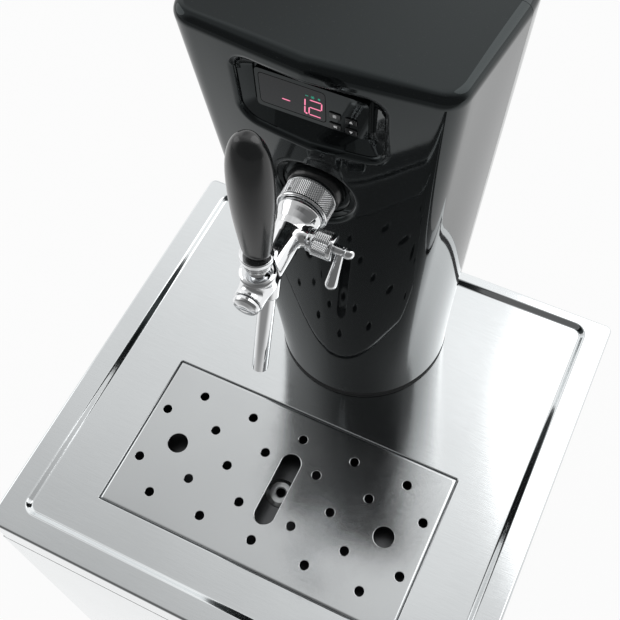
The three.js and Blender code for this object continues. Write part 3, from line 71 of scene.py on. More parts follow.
def boxOf(node):
    return [(np.array(corner) - origin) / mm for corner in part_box(node)]


# A wire holds a node tree and one socket in it, and maths on wires adds nodes
def plug(tree, socket, value):
    if isinstance(value, Wire):
        tree.links.new(value.socket, socket)
    elif value is not None:
        socket.default_value = value


class Wire:
    def __init__(self, tree, socket=None):
        self.tree, self.socket = tree, socket

    def add(self, kind, settings=None, values=None, output=0):
        node = self.tree.nodes.new(kind)
        for name, value in (settings or {}).items():
            setattr(node, name, value)
        for key, value in (values or {}).items():
            plug(self.tree, node.inputs[key], value)
        return Wire(self.tree, node.outputs[output])

    def maths(self, operation, *values):
        isVector = any(isinstance(v, Wire) and v.socket.type == "VECTOR" for v in values)
        if isVector:
            values = [(v, v, v) if isinstance(v, (int, float)) else v for v in values]
        kind = "ShaderNodeVectorMath" if isVector else "ShaderNodeMath"
        return self.add(kind, {"operation": operation}, dict(enumerate(values)))

    def other(self, name):
        return Wire(self.tree, self.socket.node.outputs[name])

    def xyz(self, x=0.0, y=0.0, z=0.0):
        return self.add("ShaderNodeCombineXYZ", None, {0: x, 1: y, 2: z})

    def split(self):
        x = self.add("ShaderNodeSeparateXYZ", None, {0: self})
        return x, x.other("Y"), x.other("Z")

    def __add__(self, value): return self.maths("ADD", self, value)
    def __radd__(self, value): return self.maths("ADD", value, self)
    def __sub__(self, value): return self.maths("SUBTRACT", self, value)
    def __rsub__(self, value): return self.maths("SUBTRACT", value, self)
    def __mul__(self, value): return self.maths("MULTIPLY", self, value)
    def __rmul__(self, value): return self.maths("MULTIPLY", value, self)
    def __truediv__(self, value): return self.maths("DIVIDE", self, value)
    def __mod__(self, value): return self.maths("FLOORED_MODULO", self, value)
    def __gt__(self, value): return self.maths("GREATER_THAN", self, value)
    def __lt__(self, value): return self.maths("LESS_THAN", self, value)

    def between(self, low, high, first=0.0, last=1.0):
        return self.add("ShaderNodeMapRange", {"interpolation_type": "SMOOTHSTEP"},
                        {0: self, 1: low, 2: high, 3: first, 4: last})

    def tint(self, first, last):
        pair = [v if isinstance(v, Wire) else (*v, 1) for v in (first, last)]
        return self.add("ShaderNodeMix", {"data_type": "RGBA"}, {0: self, 6: pair[0], 7: pair[1]}, 2)


# The camera, solved from the photograph's perspective
view = {
    "position": (178.9, -301.0, 1241.9), "lens": 56.27, "sensor": 36, "near": 0.05, "far": 50,
    "right": (0.89882, 0.43653, -0.03952), "up": (-0.36021, 0.78702, 0.50084), "back": (0.24974, -0.43593, 0.86464),
}


def linked(name, data):
    item = bpy.data.objects.new(name, data)
    bpy.context.collection.objects.link(item)
    return item


def makeCamera():
    data = bpy.data.cameras.new("camera")
    data.sensor_width, data.lens, data.clip_start, data.clip_end = (view[k] for k in ("sensor", "lens", "near", "far"))
    camera = linked("camera", data)
    turn = Matrix([view["right"], view["up"], view["back"]]).transposed().to_4x4()
    camera.matrix_world = Matrix.Translation(Vector(place(view["position"]))) @ turn
    bpy.context.scene.camera = camera


makeCamera()
print("camera: set")

# Finishes: each has its own grain, clouding and wear on object coordinates
shaderInputs = {
    "base": "Base Color", "rough": "Roughness", "metal": "Metallic", "normal": "Normal", "coat": "Coat Weight",
    "ior": "IOR", "specular": "Specular IOR Level", "tint": "Specular Tint",
    "glow": "Emission Color", "glowLevel": "Emission Strength",
}


def startFinish(name):
    material = bpy.data.materials.new(name)
    material.use_nodes = True
    return material, Wire(material.node_tree)


def setShader(wire, **values):
    shader = wire.tree.nodes["Principled BSDF"]
    for name, value in values.items():
        plug(wire.tree, shader.inputs[shaderInputs[name]], (*value, 1) if isinstance(value, tuple) else value)


def noise(wire, scale, detail=3.0, stretch=(1, 1, 1), rough=0.5):
    spot = wire.add("ShaderNodeTexCoord", output="Object")
    moved = wire.add("ShaderNodeMapping", None, {"Vector": spot, "Scale": stretch})
    return wire.add("ShaderNodeTexNoise", None, {
        "Vector": moved, "Scale": scale, "Detail": detail, "Roughness": rough})


def bump(wire, height, depth, strength=1.0):
    return wire.add("ShaderNodeBump", None, {"Height": height, "Distance": depth, "Strength": strength})


def faded(colour, share):
    return tuple(share * c for c in colour)


steelValues = {"grainScale": 60, "stretch": (1.2, 26, 26), "grainDepth": 0.00003, "grainRough": 0.05,
               "cloudScale": 7, "smudgeScale": 38, "smudgeRough": 0.03}


def steelFinish(name, tone, rough, grain=1.0, stretch=steelValues["stretch"]):
    v = steelValues
    material, wire = startFinish(name)
    lines = noise(wire, v["grainScale"], 4, stretch)
    cloud = noise(wire, v["cloudScale"], 2)
    smudge = noise(wire, v["smudgeScale"], 5, rough=0.65).between(0.45, 0.75)
    setShader(wire, metal=1.0, base=(cloud * 0.6 + lines * 0.4).between(0.3, 0.7).tint(faded(tone, 0.93), tone),
              rough=rough + lines * v["grainRough"] + smudge * v["smudgeRough"],
              normal=bump(wire, lines, v["grainDepth"] * grain, 0.6))
    return material


chromeValues = {"cloudScale": 24, "waveDepth": 0.00004, "smearScale": 160, "smearRough": 0.05}


def chromeFinish(name, tone, rough):
    v = chromeValues
    material, wire = startFinish(name)
    cloud = noise(wire, v["cloudScale"], 3)
    smear = noise(wire, v["smearScale"], 5, rough=0.7).between(0.5, 0.8)
    setShader(wire, metal=1.0, base=cloud.between(0.3, 0.7).tint(faded(tone, 0.95), tone),
              rough=rough + smear * v["smearRough"], normal=bump(wire, cloud, v["waveDepth"], 0.25))
    return material


glossValues = {"tint": (0.86, 0.98, 1.0), "dust": (0.06, 0.06, 0.06), "dustScale": 900, "hazeScale": 9,
               "peelScale": 70, "peelDepth": 0.00003, "ior": 1.46}


def glossFinish(name, shade, rough, peel=1.0):
    material, wire = startFinish(name)
    v = glossValues
    peelHeight = noise(wire, v["peelScale"], 2)
    dust = noise(wire, v["dustScale"], 2).between(0.66, 0.74)
    haze = noise(wire, v["hazeScale"], 4, rough=0.6).between(0.4, 0.75)
    setShader(wire, tint=v["tint"], ior=v["ior"], base=(dust * 0.2).tint(shade, v["dust"]),
              rough=rough + haze * 0.03 + dust * 0.15, normal=bump(wire, peelHeight, v["peelDepth"] * peel, 0.35))
    return material


mouldedValues = {"cloudScale": 14, "grainRough": 0.12, "cloudRough": 0.06}


def mouldedFinish(name, shade, rough, grainScale, depth, worn, coat=0.0):
    v = mouldedValues
    material, wire = startFinish(name)
    grain = noise(wire, grainScale, 3)
    cloud = noise(wire, v["cloudScale"], 4)
    light = tuple(min(1, c + worn) for c in shade)
    setShader(wire, base=(cloud * 0.7 + grain * 0.3).between(0.35, 0.7).tint(shade, light),
              rough=rough + grain * v["grainRough"] + cloud * v["cloudRough"], coat=coat,
              normal=bump(wire, grain, depth, 0.5))
    return material


foamValues = {"cellScale": 420, "cellDepth": 0.0004, "cloudScale": 18, "rough": 0.9}


def foamFinish(name, shade, light):
    v = foamValues
    material, wire = startFinish(name)
    spot = wire.add("ShaderNodeTexCoord", output="Object")
    cells = wire.add("ShaderNodeTexVoronoi", None, {"Vector": spot, "Scale": v["cellScale"]})
    cloud = noise(wire, v["cloudScale"], 3)
    setShader(wire, base=(cells * 0.5 + cloud * 0.5).between(0.1, 0.7).tint(shade, light),
              rough=v["rough"], normal=bump(wire, cells, v["cellDepth"]))
    return material


hoseValues = {"cloudScale": 60, "waveDepth": 0.0002, "rough": 0.22, "cloudRough": 0.12, "coat": 0.3}


def hoseFinish(name, shade, light):
    v = hoseValues
    material, wire = startFinish(name)
    cloud = noise(wire, v["cloudScale"], 3)
    setShader(wire, base=cloud.between(0.3, 0.7).tint(shade, light), coat=v["coat"],
              rough=v["rough"] + cloud * v["cloudRough"], normal=bump(wire, cloud, v["waveDepth"], 0.3))
    return material


printValues = {"glowScale": 2500, "glowBase": (0.01, 0.01, 0.01), "glowRough": 0.4, "inkScale": 3000, "inkRough": 0.45}


def glowFinish(name, colour, level):
    v = printValues
    material, wire = startFinish(name)
    grain = noise(wire, v["glowScale"], 2).between(0.2, 0.6)
    setShader(wire, base=v["glowBase"], rough=v["glowRough"],
              glow=grain.tint(faded(colour, 0.82), colour), glowLevel=level)
    return material


def inkFinish(name, colour):
    v = printValues
    material, wire = startFinish(name)
    grain = noise(wire, v["inkScale"], 3).between(0.3, 0.6)
    setShader(wire, base=grain.tint(faded(colour, 0.8), colour), rough=v["inkRough"])
    return material


finishes = {
    "polished_steel": steelFinish("polished steel", (0.77, 0.795, 0.805), 0.065),
    "satin_steel": steelFinish("satin steel", (0.655, 0.675, 0.683), 0.11, 0.6, (1, 400, 400)),
    "painted_steel": mouldedFinish("painted steel", (0.62, 0.64, 0.65), 0.3, 500, 0.00006, 0.04, 0.25),
    "black_steel": mouldedFinish("black steel", (0.018, 0.019, 0.02), 0.38, 420, 0.00008, 0.012),
    "aluminium": steelFinish("aluminium", (0.66, 0.67, 0.68), 0.34, 1.2, (30, 30, 8)),
    "aluminium_black": mouldedFinish("painted aluminium", (0.02, 0.022, 0.024), 0.32, 600, 0.00005, 0.015),
    "chrome": chromeFinish("chrome", (0.86, 0.87, 0.88), 0.035),
    "knurled_chrome": chromeFinish("knurled chrome", (0.74, 0.75, 0.76), 0.14),
    "gloss_black": glossFinish("gloss black", (0.005, 0.0058, 0.0062), 0.04),
    "soft_black": mouldedFinish("soft black", (0.006, 0.007, 0.0075), 0.11, 500, 0.000015, 0.004, 0.2),
    "smoked_plastic": glossFinish("smoked window", (0.012, 0.008, 0.0095), 0.05, 0.4),
    "white_plastic": mouldedFinish("white plastic", (0.78, 0.79, 0.79), 0.32, 600, 0.00005, 0.04),
    "foam": foamFinish("foam", (0.72, 0.63, 0.36), (0.86, 0.79, 0.53)),
    "rubber": mouldedFinish("rubber", (0.016, 0.016, 0.017), 0.65, 800, 0.0001, 0.012),
    "hose": hoseFinish("hose", (0.62, 0.65, 0.6), (0.78, 0.8, 0.75)),
}
# The drip pan's steel is painted dark: painted shade for the dim space under the lid and the worktop
panShadeSteel = steelFinish("pan steel with painted shade", (0.16, 0.165, 0.17), 0.3)
drainSteel = steelFinish("drain steel", (0.72, 0.74, 0.745), 0.3)
# The drain's bore is painted near-black: painted shade down inside the hole
boreShadeSteel = steelFinish("bore painted shade", (0.04, 0.042, 0.043), 0.35)
digitGlow = glowFinish("digit glow", (1.0, 0.25, 0.42), 1.15)
signGlow = glowFinish("sign glow", (0.03, 0.62, 0.4), 0.5)
whiteInk = inkFinish("white ink", (0.86, 0.87, 0.87))
print("finishes:", len(bpy.data.materials))


# Meshes: edited opens one, worked applies a modifier, cut takes one out of another
@contextmanager
def edited(mesh):
    form = bmesh.new()
    form.from_mesh(mesh)
    yield form
    form.to_mesh(mesh)
    form.free()


def smoothed(mesh, angle=35):
    mesh.shade_smooth()
    mesh.set_sharp_from_angle(angle=angle * degree)
    return mesh


def settle(mesh, angle=35, weld=2e-6):
    with edited(mesh) as form:
        bmesh.ops.remove_doubles(form, verts=form.verts, dist=weld)
        bmesh.ops.dissolve_degenerate(form, edges=form.edges, dist=1e-7)
        bmesh.ops.recalc_face_normals(form, faces=form.faces)
    return smoothed(mesh, angle)


def meshOf(points, faces, angle=35, weld=2e-6):
    mesh = bpy.data.meshes.new("mesh")
    mesh.from_pydata(place(points).tolist(), [], [tuple(int(i) for i in f) for f in faces])
    return settle(mesh, angle, weld)


def taken(item):
    graph = bpy.context.evaluated_depsgraph_get()
    mesh = bpy.data.meshes.new_from_object(item.evaluated_get(graph), depsgraph=graph)
    bpy.data.objects.remove(item)
    return mesh


def worked(mesh, kind, **settings):
    item = linked("work", mesh)
    modifier = item.modifiers.new("work", kind)
    for name, value in settings.items():
        setattr(modifier, name, value)
    return taken(item)


def cut(mesh, toolMesh):
    tool = linked("tool", toolMesh)
    result = worked(mesh, "BOOLEAN", object=tool, solver="EXACT")
    bpy.data.objects.remove(tool)
    return result


# Lets the large faces rule the shading at their edges, so that flat sheets look flat
def flattened(mesh):
    return worked(mesh, "WEIGHTED_NORMAL", keep_sharp=True, weight=60)


def softened(mesh, width, steps=3, angle=35, limit=32):
    return flattened(smoothed(worked(
        mesh, "BEVEL", width=width * mm, segments=steps, limit_method="ANGLE", angle_limit=limit * degree,
        miter_outer="MITER_ARC"), angle))


def joined(*meshes):
    form = bmesh.new()
    for mesh in meshes:
        form.from_mesh(mesh)
    result = bpy.data.meshes.new("mesh")
    form.to_mesh(result)
    form.free()
    return result


# A small piece of the scene alone, on one body
def detail(name, mesh, body, slot, finish):
    item = linked(name, mesh)
    mesh.name = name
    if not mesh.materials:
        mesh.materials.append(finish)
    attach(item, body)
    return item


# A piece that stands for a node and moves with the node's body
def piece(name, mesh, node, finish=None):
    slot = slotOf[node]
    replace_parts(detail(name, mesh, bodyOf[node], slot, finish or finishes[slot]), node)


# A copy of a plain CAD node with its edges broken and its round faces shaded smooth
def finished(name, node, edge=0.4, steps=2, angle=35, finish=None):
    mesh = frame["nodes"][node].data.copy()
    mesh.materials.clear()
    if "custom_normal" in mesh.attributes:
        mesh.attributes.remove(mesh.attributes["custom_normal"])
    with edited(mesh) as form:
        bmesh.ops.remove_doubles(form, verts=form.verts, dist=2e-6)
        bmesh.ops.dissolve_limit(form, angle_limit=0.6 * degree, verts=form.verts, edges=form.edges)
        bmesh.ops.recalc_face_normals(form, faces=form.faces)
    piece(name, softened(mesh, edge, steps, angle) if edge else settle(mesh, angle), node, finish)


# Fillets the corners of an outline of (a, b) or (a, b, radius) points
def filleted(corners, steps=5, loop=False):
    points = []
    count = len(corners)
    for i, corner in enumerate(corners):
        here = np.array(corner[:2], float)
        size = corner[2] if len(corner) > 2 and (loop or 0 < i < count - 1) else 0
        if size > 0:
            before, after = np.array(corners[i - 1][:2], float), np.array(corners[(i + 1) % count][:2], float)
            a, b = before - here, after - here
            la, lb = np.linalg.norm(a), np.linalg.norm(b)
            a, b = a / la, b / lb
            half = math.acos(max(-1, min(1, float(a @ b)))) / 2
            size = min(size / math.tan(half), 0.48 * la, 0.48 * lb) if half < 1.565 else 0
        if size < 1e-6:
            points.append(tuple(here))
            continue
        middle = here + (a + b) / np.linalg.norm(a + b) * (size * math.tan(half)) / math.sin(half)
        start, end = here + a * size - middle, here + b * size - middle
        sweep = math.atan2(start[0] * end[1] - start[1] * end[0], float(start @ end))
        for angle in (sweep * k / steps for k in range(steps + 1)):
            c, s = math.cos(angle), math.sin(angle)
            points.append(tuple(middle + np.array([start[0] * c - start[1] * s, start[0] * s + start[1] * c])))
    return points


# A profile of (radius, height) turned round Z; it closes on itself or on the axis
def lathe(profile, sides=64):
    closed = profile[0][0] > 1e-9 or profile[-1][0] > 1e-9
    points, faces = [], []
    count = len(profile)
    for k in range(sides):
        c, s = math.cos(2 * math.pi * k / sides), math.sin(2 * math.pi * k / sides)
        points += [(r * c, r * s, z) for r, z in profile]
    for k in range(sides):
        a, b = k * count, (k + 1) % sides * count
        for i in range(count if closed else count - 1):
            j = (i + 1) % count
            faces.append((a + i, b + i, b + j, a + j))
    return np.array(points), faces


# Turns what stands on Z to face the front or the right, then spins and moves it
def turnedTo(points, axis="z", spot=(0, 0, 0), spin=None):
    p = np.asarray(points, float)
    if axis == "front":
        p = np.stack([p[:, 0], -p[:, 2], p[:, 1]], 1)
    elif axis == "right":
        p = np.stack([p[:, 2], p[:, 1], -p[:, 0]], 1)
    if spin is not None:
        p = p @ np.array(spin).T
    return p + np.array(spot)


def latheMesh(profile, sides=64, axis="z", spot=(0, 0, 0), spin=None):
    points, faces = lathe(profile, sides)
    return meshOf(turnedTo(points, axis, spot, spin), faces)


# The angles of a quarter turn, or of a share of one, in equal steps
def turns(steps, share=1):
    return [quarter * share * i / steps for i in range(steps + 1)]


def roundRect(width, height, radius, steps=8):
    points = []
    for k, (sx, sy) in enumerate([(1, 1), (-1, 1), (-1, -1), (1, -1)]):
        for i in range(steps + 1):
            angle = (k + i / steps) * quarter
            points.append((sx * (width / 2 - radius) + radius * math.cos(angle),
                           sy * (height / 2 - radius) + radius * math.sin(angle)))
    return points


# Flat points of (x, y) at a height, and of (x, z) at a depth
def lying(flat, z):
    flat = np.asarray(flat, float)
    return np.column_stack([flat, np.full(len(flat), z)])


def standing(flat, y):
    flat = np.asarray(flat, float)
    return np.column_stack([flat[:, 0], np.broadcast_to(y, len(flat)), flat[:, 1]])


# Skins closed rings of equal count; caps close the first and last ring
def skin(rings, caps=True):
    count = len(rings[0])
    points = np.concatenate([np.asarray(r, float) for r in rings])
    faces = []
    for a in range(0, (len(rings) - 1) * count, count):
        for i in range(count):
            j = (i + 1) % count
            faces.append((a + i, a + j, a + count + j, a + count + i))
    if caps:
        faces += [tuple(range(count))[::-1], tuple(range(len(points) - count, len(points)))]
    return points, faces


def merged(*shells):
    points, faces = np.zeros((0, 3)), []
    for more, moreFaces in shells:
        faces += [tuple(i + len(points) for i in face) for face in moreFaces]
        points = np.concatenate([points, more])
    return points, faces


# A smooth tube along points, with closed ends
def tube(points, radius, sides=16, steps=6):
    path = [np.array(p, float) for p in points]
    path = [2 * path[0] - path[1], *path, 2 * path[-1] - path[-2]]
    fine = []
    for near in zip(path, path[1:], path[2:], path[3:]):
        knots = np.cumsum([0] + [math.sqrt(np.linalg.norm(b - a)) for a, b in zip(near, near[1:])])
        for t in np.linspace(knots[1], knots[2], steps, endpoint=False):
            mixes = near
            for low, high in ((0, 1), (0, 2), (1, 2)):
                mixes = [(a * (knots[i + high] - t) + b * (t - knots[i + low])) / (knots[i + high] - knots[i + low])
                         for i, (a, b) in enumerate(zip(mixes, mixes[1:]))]
            fine.append(mixes[0])
    fine = np.array(fine + [path[-2]])
    along = np.gradient(fine, axis=0)
    along /= np.linalg.norm(along, axis=1)[:, None]
    side = np.cross(along[0], (0.3, 0.2, 0.9))
    rings = []
    for p, d in zip(fine, along):
        side = side - d * (side @ d)
        side /= np.linalg.norm(side)
        up = np.cross(d, side)
        rings.append([p + radius * (math.cos(a) * side + math.sin(a) * up)
                      for a in (2 * math.pi * k / sides for k in range(sides))])
    return skin(rings)


# Geometry Nodes: a tree with named inputs, and the plain mesh that it makes
def startTree(name, inputs):
    tree = bpy.data.node_groups.new(name, "GeometryNodeTree")
    kinds = {int: "NodeSocketInt", float: "NodeSocketFloat", str: "NodeSocketMaterial"}
    tree.interface.new_socket("Geometry", in_out="OUTPUT", socket_type="NodeSocketGeometry")
    for label, value in inputs.items():
        socket = tree.interface.new_socket(label, in_out="INPUT", socket_type=kinds[type(value)])
        if not isinstance(value, str):
            socket.default_value = value
    source = tree.nodes.new("NodeGroupInput")
    return Wire(tree), {label: Wire(tree, source.outputs[label]) for label in inputs}


def endTree(wire, geometry, material):
    real = wire.add("GeometryNodeRealizeInstances", None, {0: geometry})
    dressed = wire.add("GeometryNodeSetMaterial", None, {"Geometry": real, "Material": material})
    wire.tree.links.new(dressed.socket, wire.tree.nodes.new("NodeGroupOutput").inputs[0])
    return wire.tree


def gathered(wire, *parts):
    join = wire.tree.nodes.new("GeometryNodeJoinGeometry")
    for part in parts:
        wire.tree.links.new(part.socket, join.inputs[0])
    return Wire(wire.tree, join.outputs[0])


def evaluated(tree, values):
    item = linked("work", bpy.data.meshes.new("work"))
    modifier = item.modifiers.new("shape", "NODES")
    modifier.node_group = tree
    for entry in tree.interface.items_tree:
        if entry.in_out == "INPUT" and entry.name in values:
            modifier[entry.identifier] = values[entry.name]
    return taken(item)


# Worktop: one pressed sheet, ring by ring from the skirt's edge over the rim to the sunk field
worktopSizes = {
    "width": 426, "depth": 404, "sheet": 1.5, "skirtLow": 404, "rimTop": 444, "field": 440, "fieldStart": 29,
    "rimRadius": 2.6, "stepStart": 21.2, "stepEnd": 25.0, "stepRadius": 3.0, "underRadius": 1,
    "rimDifference": 11, "turnFrom": 3, "turnOver": 15, "cornerRadius": 6, "fieldRadius": 33, "cornerSteps": 10,
    "opening": (275.2, 147.2, 1.6), "openingY": -69, "openingEdge": 0.9, "openingSteps": 4,
    "ductY": 113, "ductRadius": 25.5, "ductSides": 48, "pipeX": 70, "pipeZ": 411.2, "pipeRadius": 6, "sharp": 28,
}


def worktopRing(inset, z):
    s = worktopSizes
    share = min(max((inset - s["turnFrom"]) / s["turnOver"], 0), 1)
    back = inset - s["rimDifference"] * share
    outer, inner = (max(s[k] - inset, s["turnFrom"]) for k in ("cornerRadius", "fieldRadius"))
    radius = (1 - share) * outer + share * inner
    flat = roundRect(s["width"] - 2 * inset, s["depth"] - inset - back, radius, s["cornerSteps"])
    return [(x, y + (inset - back) / 2, z) for x, y in flat]


def worktopMesh():
    s = worktopSizes
    rim, field, sheet, under = s["rimTop"], s["field"], s["sheet"], s["underRadius"]
    top = filleted([
        (0, s["skirtLow"]), (0, rim, s["rimRadius"]), (s["stepStart"], rim, s["stepRadius"]),
        (s["stepEnd"], field, s["stepRadius"]), (s["fieldStart"], field),
    ], 6)
    low = filleted([
        (s["fieldStart"], field - sheet), (s["stepEnd"] - sheet, field - sheet, under),
        (s["stepStart"] - sheet, rim - sheet, under), (sheet, rim - sheet, under), (sheet, s["skirtLow"]),
    ], 3)
    top, low = [[worktopRing(*p) for p in line] for line in (top, low)]
    shells = [skin(top, caps=False), skin(low + [top[0]], caps=False)]
    width, depth, radius = s["opening"]
    edge = s["openingEdge"]
    rolls = [(edge * (1 - math.sin(t)), edge * (1 - math.cos(t))) for t in turns(s["openingSteps"])]
    opening = [[(x, y + s["openingY"]) for x, y in roundRect(width + 2 * out, depth + 2 * out, radius + out, 6)]
               for out, _ in rolls]
    hole = [(s["ductRadius"] * math.cos(a), s["ductY"] + s["ductRadius"] * math.sin(a))
            for a in np.linspace(0, 2 * math.pi, s["ductSides"] + 1)[:-1]]
    for rim, z, inner in ((top[-1], field, opening[0]), (low[0], field - sheet, opening[-1])):
        loops = [[Vector(p) for p in loop] for loop in (rim, lying(inner, z), lying(hole, z))]
        shells.append(([tuple(v) for loop in loops for v in loop], tessellate_polygon(loops)))
    walls = [lying(o, field - down) for o, (_, down) in zip(opening, rolls)] + [lying(opening[-1], field - sheet)]
    shells += [skin(walls, caps=False), skin([lying(hole, z) for z in (field, field - sheet)], caps=False)]
    pipe = latheMesh([(0, -8), (s["pipeRadius"], -8), (s["pipeRadius"], 8), (0, 8)], 32, "front",
                     (s["pipeX"], s["depth"] / 2, s["pipeZ"]))
    mesh = cut(meshOf(*merged(*shells), s["sharp"]), pipe)
    mesh.materials.clear()
    return flattened(smoothed(mesh, s["sharp"]))


piece("worktopSheet", worktopMesh(), "worktop")
print("worktop: done")

# Drip lid: Geometry Nodes cut the holes and the slot from one plate
lidSizes = {
    "Width": 273.2 * mm, "Depth": 145.2 * mm, "Thickness": 1.5 * mm, "Corner": 1.5 * mm, "Pitch": 25 * mm,
    "Columns": 11, "Rows": 5, "Small": 4 * mm, "Small sides": 36, "Large": 9 * mm, "Large sides": 64, "Large at": 4.0,
    "Slot width": 17.5 * mm, "Slot length": 68 * mm,
}
lidPlace = {"y": -69, "top": 440, "steps": 5, "rolls": [(2.3, 1.2), (0.9, 0.9), (0.5, 0.5)]}


def lidTree():
    wire, size = startTree("perforated plate", {**lidSizes, "Finish": ""})
    grid = wire.add("GeometryNodeMeshGrid", None, {
        "Size X": size["Pitch"] * (size["Columns"] - 1), "Size Y": size["Pitch"] * (size["Rows"] - 1),
        "Vertices X": size["Columns"], "Vertices Y": size["Rows"]})
    x, y, _ = wire.add("GeometryNodeInputPosition").split()
    column, row = wire.maths("ROUND", x / size["Pitch"]), wire.maths("ROUND", y / size["Pitch"])
    far = wire.maths("ABSOLUTE", column)
    inRow = wire.maths("ABSOLUTE", row) < 0.5
    outside = far > size["Large at"] - 0.5
    special = inRow * ((far < 0.5) + outside)
    small = ((column + row) % 2 < 0.5) * (special < 0.5)
    large = inRow * outside * (far < size["Large at"] + 0.5)

    def rounds(radius, chosen, count):
        circle = wire.add("GeometryNodeCurvePrimitiveCircle", None, {"Resolution": count, "Radius": radius})
        return wire.add("GeometryNodeInstanceOnPoints", None, {
            "Points": grid, "Selection": chosen, "Instance": circle})

    def box(width, height, radius, count):
        outline = wire.add("GeometryNodeCurvePrimitiveQuadrilateral", {"mode": "RECTANGLE"},
                           {"Width": width, "Height": height})
        return wire.add("GeometryNodeFilletCurve", {"mode": "POLY"}, {
            "Curve": outline, "Count": count, "Radius": radius, "Limit Radius": True})

    curves = gathered(wire, box(size["Width"], size["Depth"], size["Corner"], 5),
                      box(size["Slot width"], size["Slot length"], size["Slot width"] * 0.4995, 12),
                      rounds(size["Small"], small, size["Small sides"]),
                      rounds(size["Large"], large, size["Large sides"]))
    flat = wire.add("GeometryNodeRealizeInstances", None, {0: curves})
    face = wire.add("GeometryNodeFillCurve", {"mode": "NGONS"}, {"Curve": flat})
    extruded = wire.add("GeometryNodeExtrudeMesh", {"mode": "FACES"}, {
        "Mesh": face, "Offset": wire.xyz(z=size["Thickness"] * -1), "Offset Scale": 1.0, "Individual": False})
    plate = gathered(wire, extruded, wire.add("GeometryNodeFlipFaces", None, {0: face}))
    merge = wire.add("GeometryNodeMergeByDistance", None, {"Geometry": plate, "Distance": 1e-6})
    return endTree(wire, merge, size["Finish"])


# The outlines of the plate's rim and of its holes, each as points in order, anticlockwise
def outlines(mesh):
    form = bmesh.new()
    form.from_mesh(mesh)
    nextTo = {}
    for edge in form.edges:
        a, b = edge.verts
        if min(a.co.z, b.co.z) > -1e-5 and edge.calc_face_angle(0) > 0.5:
            nextTo.setdefault(a, []).append(b)
            nextTo.setdefault(b, []).append(a)
    loops, seen = [], set()
    for start in nextTo:
        loop = []
        while start is not None and start not in seen:
            seen.add(start)
            loop.append(np.array(start.co.xy) / mm)
            start = next((v for v in nextTo[start] if v not in seen), None)
        if loop:
            loop = np.array(loop)
            turn = np.sum(loop[:, 0] * np.roll(loop[:, 1], -1) - loop[:, 1] * np.roll(loop[:, 0], -1))
            loops.append(loop if turn > 0 else loop[::-1])
    form.free()
    return sorted(loops, key=lambda loop: -np.ptp(loop[:, 0]) - np.ptp(loop[:, 1]))


def grown(loop, amount, isRim):
    if isRim:
        size = np.abs(loop).max(0)
        return loop * (size - amount) / size
    along = np.roll(loop, -1, 0) - np.roll(loop, 1, 0)
    along /= np.linalg.norm(along, axis=1)[:, None]
    return loop + np.column_stack([along[:, 1], -along[:, 0]]) * amount


# Sheet metal with rolled edges: rings lead from the underside up each wall and over its edge
def lidMesh():
    s = lidPlace
    points, faces, lows, highs, owner = [], [], [], [], []
    plate = evaluated(lidTree(), {**lidSizes, "Finish": finishes["satin_steel"]})
    for number, loop in enumerate(outlines(plate)):
        width, drop = s["rolls"][min(number, 2)]
        count, start = len(loop), len(points)
        levels = [(0, -lidSizes["Thickness"] / mm)]
        levels += [(width * (1 - math.cos(t)), drop * (math.sin(t) - 1)) for t in turns(s["steps"])]
        for inset, height in levels:
            points += [(x, y + s["y"], height + s["top"]) for x, y in grown(loop, inset, number == 0)]
        for level in range(len(levels) - 1):
            for i in range(count):
                a, b = start + level * count + i, start + level * count + (i + 1) % count
                faces.append((a, b, b + count, a + count) if number == 0 else (a, a + count, b + count, b))
        lows.append(range(start, start + count))
        highs.append(range(len(points) - count, len(points)))
        owner += [number] * (len(points) - start)
    for rings, isTop in ((highs, True), (lows, False)):
        chosen = [i for ring in rings for i in ring]
        order = {index: i for i, index in enumerate(chosen)}
        lines = [(order[a], order[b]) for ring in rings for a, b in zip(ring, [*ring[1:], ring[0]])]
        filled = delaunay_2d_cdt([Vector(points[i][:2]) for i in chosen], lines, [], 0, 1e-6)
        for triangle in filled[2]:
            corners = [chosen[filled[3][k][0]] for k in triangle]
            loops = {owner[i] for i in corners}
            if len(loops) > 1 or 0 in loops:
                faces.append(corners if isTop else corners[::-1])
    return flattened(meshOf(points, faces, 30))


piece("dripLidPlate", lidMesh(), "drip_lid")
print("drip lid: done")

# Pan, drain and what is under the worktop
drainSizes = {
    "y": -66, "floor": 419.5, "ring": 13, "rise": 3, "bore": 4, "stem": 8, "stemLow": 404.5,
    "elbow": 6.5, "elbowX": 12, "pipeZ": 411.2, "hoseRadius": 5.5,
    "hose": [(12.3, -66), (24, -66), (38, -66), (56, -59), (67, -46), (70, -34), (70, 30), (70, 100), (70, 160),
             (70, 201.6)],
}


def drainMesh():
    s = drainSizes
    bore, stem, floor, high, low = s["bore"], s["stem"], s["floor"], s["floor"] + s["rise"], s["stemLow"]
    cup = latheMesh(filleted([
        (bore, low + 2), (bore, high - 1, 0.5), (bore + 1.2, high, 0.5), (stem + 1.6, high, 1.4),
        (s["ring"], floor + 0.8, 0.6), (s["ring"], floor), (stem, floor), (stem, low, 1), (0, low), (0, low + 2),
    ], 4), 48, "z", (0, s["y"], 0))
    elbow = latheMesh(filleted([
        (bore, stem - 2), (s["elbow"], stem - 2), (s["elbow"], s["elbowX"], 0.5), (bore, s["elbowX"], 0.3),
    ]), 40, "right", (0, s["y"], s["pipeZ"]))
    mesh = joined(cup, elbow)
    for finish in (drainSteel, boreShadeSteel):
        mesh.materials.append(finish)
    # Faces inside the bore, below its rim, take the near-black painted shade
    limit = place((0, s["y"], high - 0.8))
    for face in mesh.polygons:
        spot = np.array(face.center) - limit
        face.material_index = int(math.hypot(spot[0], spot[1]) < (bore + 0.1) * mm and spot[2] < 0)
    return mesh


